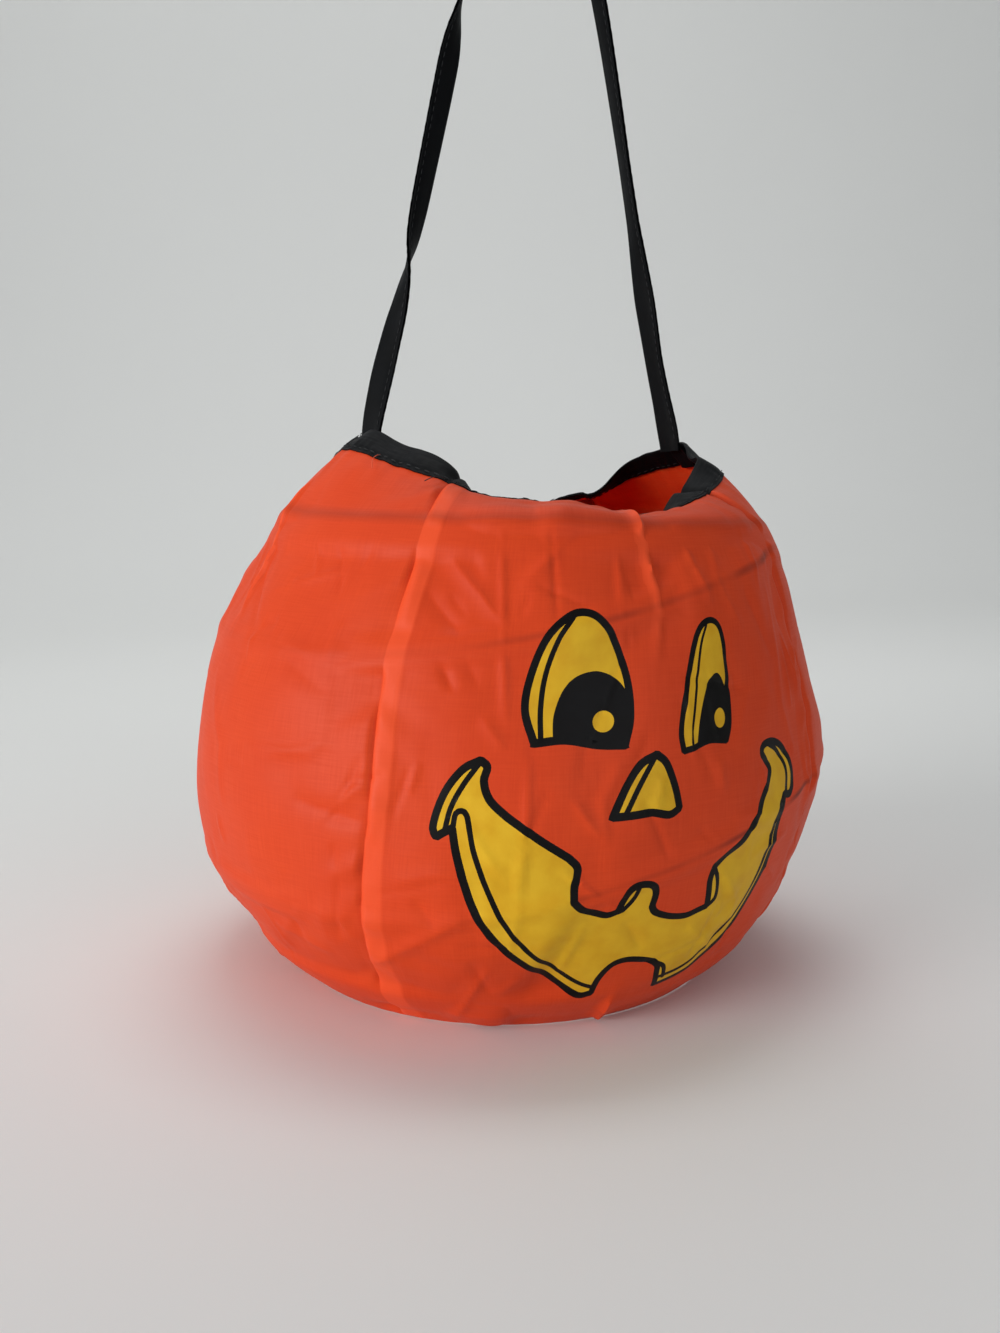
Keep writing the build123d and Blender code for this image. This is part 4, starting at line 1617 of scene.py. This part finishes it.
# Loose thread ends, as they are left at the binding's lower edge
thread_radius = 0.16 * MM
thread_lift = 0.3 * MM
thread_arch = 1.6 * MM
thread_arch_share = 0.8
thread_bend = 1.5
thread_points = 14


def loose_thread(name, longitude, below, length, sway, material):
    """A thread end that hangs from a place below the mouth, in millimetres, and sways by some degrees."""
    share = np.linspace(0, 1, thread_points)
    travel = float(mouth_travel(longitude)) - below * MM - share * length * MM
    lift = thread_lift + thread_arch * np.sin(math.pi * share * thread_arch_share)
    points = on_cloth(longitude + sway * share**thread_bend, travel, lift)
    curve = bpy.data.curves.new(name, "CURVE")
    curve.dimensions = "3D"
    curve.bevel_depth = thread_radius
    curve.bevel_resolution = 2
    curve.use_fill_caps = True
    spline = curve.splines.new("POLY")
    spline.points.add(len(points) - 1)
    for point, place in zip(spline.points, points):
        point.co = (*place, 1)
    thread = bpy.data.objects.new(name, curve)
    bpy.context.scene.collection.objects.link(thread)
    select_only(thread)
    bpy.ops.object.convert(target="MESH")
    thread = bpy.context.object
    thread.data.materials.append(material)
    smooth(thread)
    on_spring(thread)


loose_thread("thread_end_orange", -69, 9, 9, 3, orange_thread)
loose_thread("thread_end_black", -46, 10, 6, -4, black_thread)


# Spring wire, sleeves and keepers, which ride with the cloth
copy_weld = 0.005 * MM


def spring_copy(node, name, material):
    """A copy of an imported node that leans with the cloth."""
    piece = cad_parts[node].copy()
    piece.data = piece.data.copy()
    piece.parent = None
    piece.name = name
    piece.data.name = name
    for key in list(piece.keys()):
        if key.startswith("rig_"):
            del piece[key]
    bpy.context.scene.collection.objects.link(piece)
    weld(piece, copy_weld)
    points = np.zeros(len(piece.data.vertices) * 3)
    piece.data.vertices.foreach_get("co", points)
    piece.data.vertices.foreach_set("co", hung(points.reshape(-1, 3)).ravel())
    piece.data.materials.clear()
    piece.data.materials.append(material)
    smooth(piece)
    on_spring(piece)
    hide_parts(node)


spring_copy("spring_wire", "spiral_spring", spring_steel)
for level in ("top", "bottom"):
    spring_copy("wire_sleeve_" + level, "crimp_sleeve_" + level, crimped_steel)
for seam in ("front_right", "back_right", "back_left", "front_left"):
    spring_copy("wire_keepers_" + seam, "keeper_loops_" + seam, keeper_cloth)


# Sewn ends of the strap, behind the binding
strap_end_length = 11 * MM
strap_seat = 1.5 * MM
strap_end_ply = 0.2 * MM
strap_end_grid = (16, 26)


def strap_end_sheet(side, middle):
    """A sewn end of the strap: the same folded tape, flat against the inside of the binding."""

    def place(along, share):
        across, lift = tape_section(share)
        longitude = middle + np.degrees(across / mouth_radius)
        below = along * strap_end_length - binding_lift
        return on_cloth(longitude, mouth_travel(longitude) - below, -strap_seat - ply_gap - lift)

    piece, shares = grid_sheet("strap_end_tape_" + side, *strap_end_grid, place)
    set_uv(piece, shares * np.array([strap_end_length, 2 * strap_width]))
    piece.data.materials.append(tape)
    thicken(piece, strap_end_ply)
    smooth(piece)
    on_spring(piece, "mouth")
    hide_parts("strap_end_" + side)


for side, middle in strap_longitudes.items():
    strap_end_sheet(side, middle)


# Floor, light and camera
pail_middle = (0, 0, 0.12)
sweep_grid = (128, 120)


def sweep_backdrop():
    """A pale round floor that sweeps up into a wall all round."""
    middle_y, floor_radius, bend, wall = -3.4, 4.5, 0.9, 2.5

    def place(across, along):
        run = along * (floor_radius + bend * QUARTER_TURN + wall)
        turn = np.clip((run - floor_radius) / bend, 0, QUARTER_TURN)
        radius = np.minimum(run, floor_radius) + bend * np.sin(turn)
        rise = bend * (1 - np.cos(turn)) + np.maximum(run - floor_radius - bend * QUARTER_TURN, 0)
        angle = across * FULL_TURN
        return np.stack([radius * np.sin(angle), middle_y - radius * np.cos(angle), rise], axis=-1)

    piece, _ = grid_sheet("floor_sweep", *sweep_grid, place)
    piece.data.materials.append(plain_finish("pale_paper", "#E6E7E5", "#EAEBE9", 0.6, 0.8))
    smooth(piece)


sweep_backdrop()


def add_light(name, place, size, power, colour, aim=pail_middle, spread=180):
    """A soft lamp of a width and a height that looks at the pail's middle or another aim."""
    data = bpy.data.lights.new(name, "AREA")
    data.shape = "RECTANGLE"
    data.size, data.size_y = size
    data.spread = math.radians(spread)
    data.energy = power
    data.color = linear(colour)[:3]
    lamp = bpy.data.objects.new(name, data)
    lamp.location = place
    towards = Vector(aim) - lamp.location
    lamp.rotation_euler = towards.to_track_quat("-Z", "Y").to_euler()
    lamp.visible_camera = False
    bpy.context.scene.collection.objects.link(lamp)


add_light("window_side", (-2.2, -0.44, 0.5), (1.5, 0.7), 8.1, "#FFFFFF", spread=75)
add_light("fill_side", (0.3, -1.9, 0.55), (1.6, 0.8), 7.5, "#F6F7FF")
add_light("top_side", (-0.1, 0.5, 1.6), (1.2, 1.2), 4.0, "#FFFFFF")
add_light("wall_side", (0.2, 0.4, 1.9), (1.0, 1.0), 13.0, "#FFFFFF", aim=(0.6, 2.0, 0.5))

world = bpy.data.worlds.new("studio")
bpy.context.scene.world = world
world.use_nodes = True
world.node_tree.nodes["Background"].inputs["Color"].default_value = linear("#E9ECEF")
world.node_tree.nodes["Background"].inputs["Strength"].default_value = 0.3

# Camera at the photograph's viewing angle
camera_distance = 484.5 * MM
camera_height = 185.6 * MM
camera_azimuth = -22.9
camera_pitch = 8.64
camera_side = -1.7 * MM
focal_pixels = 1250
long_side_pixels = 1333


def add_camera():
    """The camera, and makes it the scene's."""
    data = bpy.data.cameras.new("camera")
    data.sensor_width = 36
    data.lens = data.sensor_width * focal_pixels / long_side_pixels
    data.clip_start = 0.01
    camera = bpy.data.objects.new("camera", data)
    turn = math.radians(camera_azimuth)
    camera.location = (
        math.sin(turn) * camera_distance + math.cos(turn) * camera_side,
        -math.cos(turn) * camera_distance + math.sin(turn) * camera_side,
        camera_height,
    )
    camera.rotation_euler = (math.radians(90 - camera_pitch), 0, turn)
    bpy.context.scene.collection.objects.link(camera)
    bpy.context.scene.camera = camera


add_camera()
bpy.context.scene.view_settings.view_transform = "Standard"
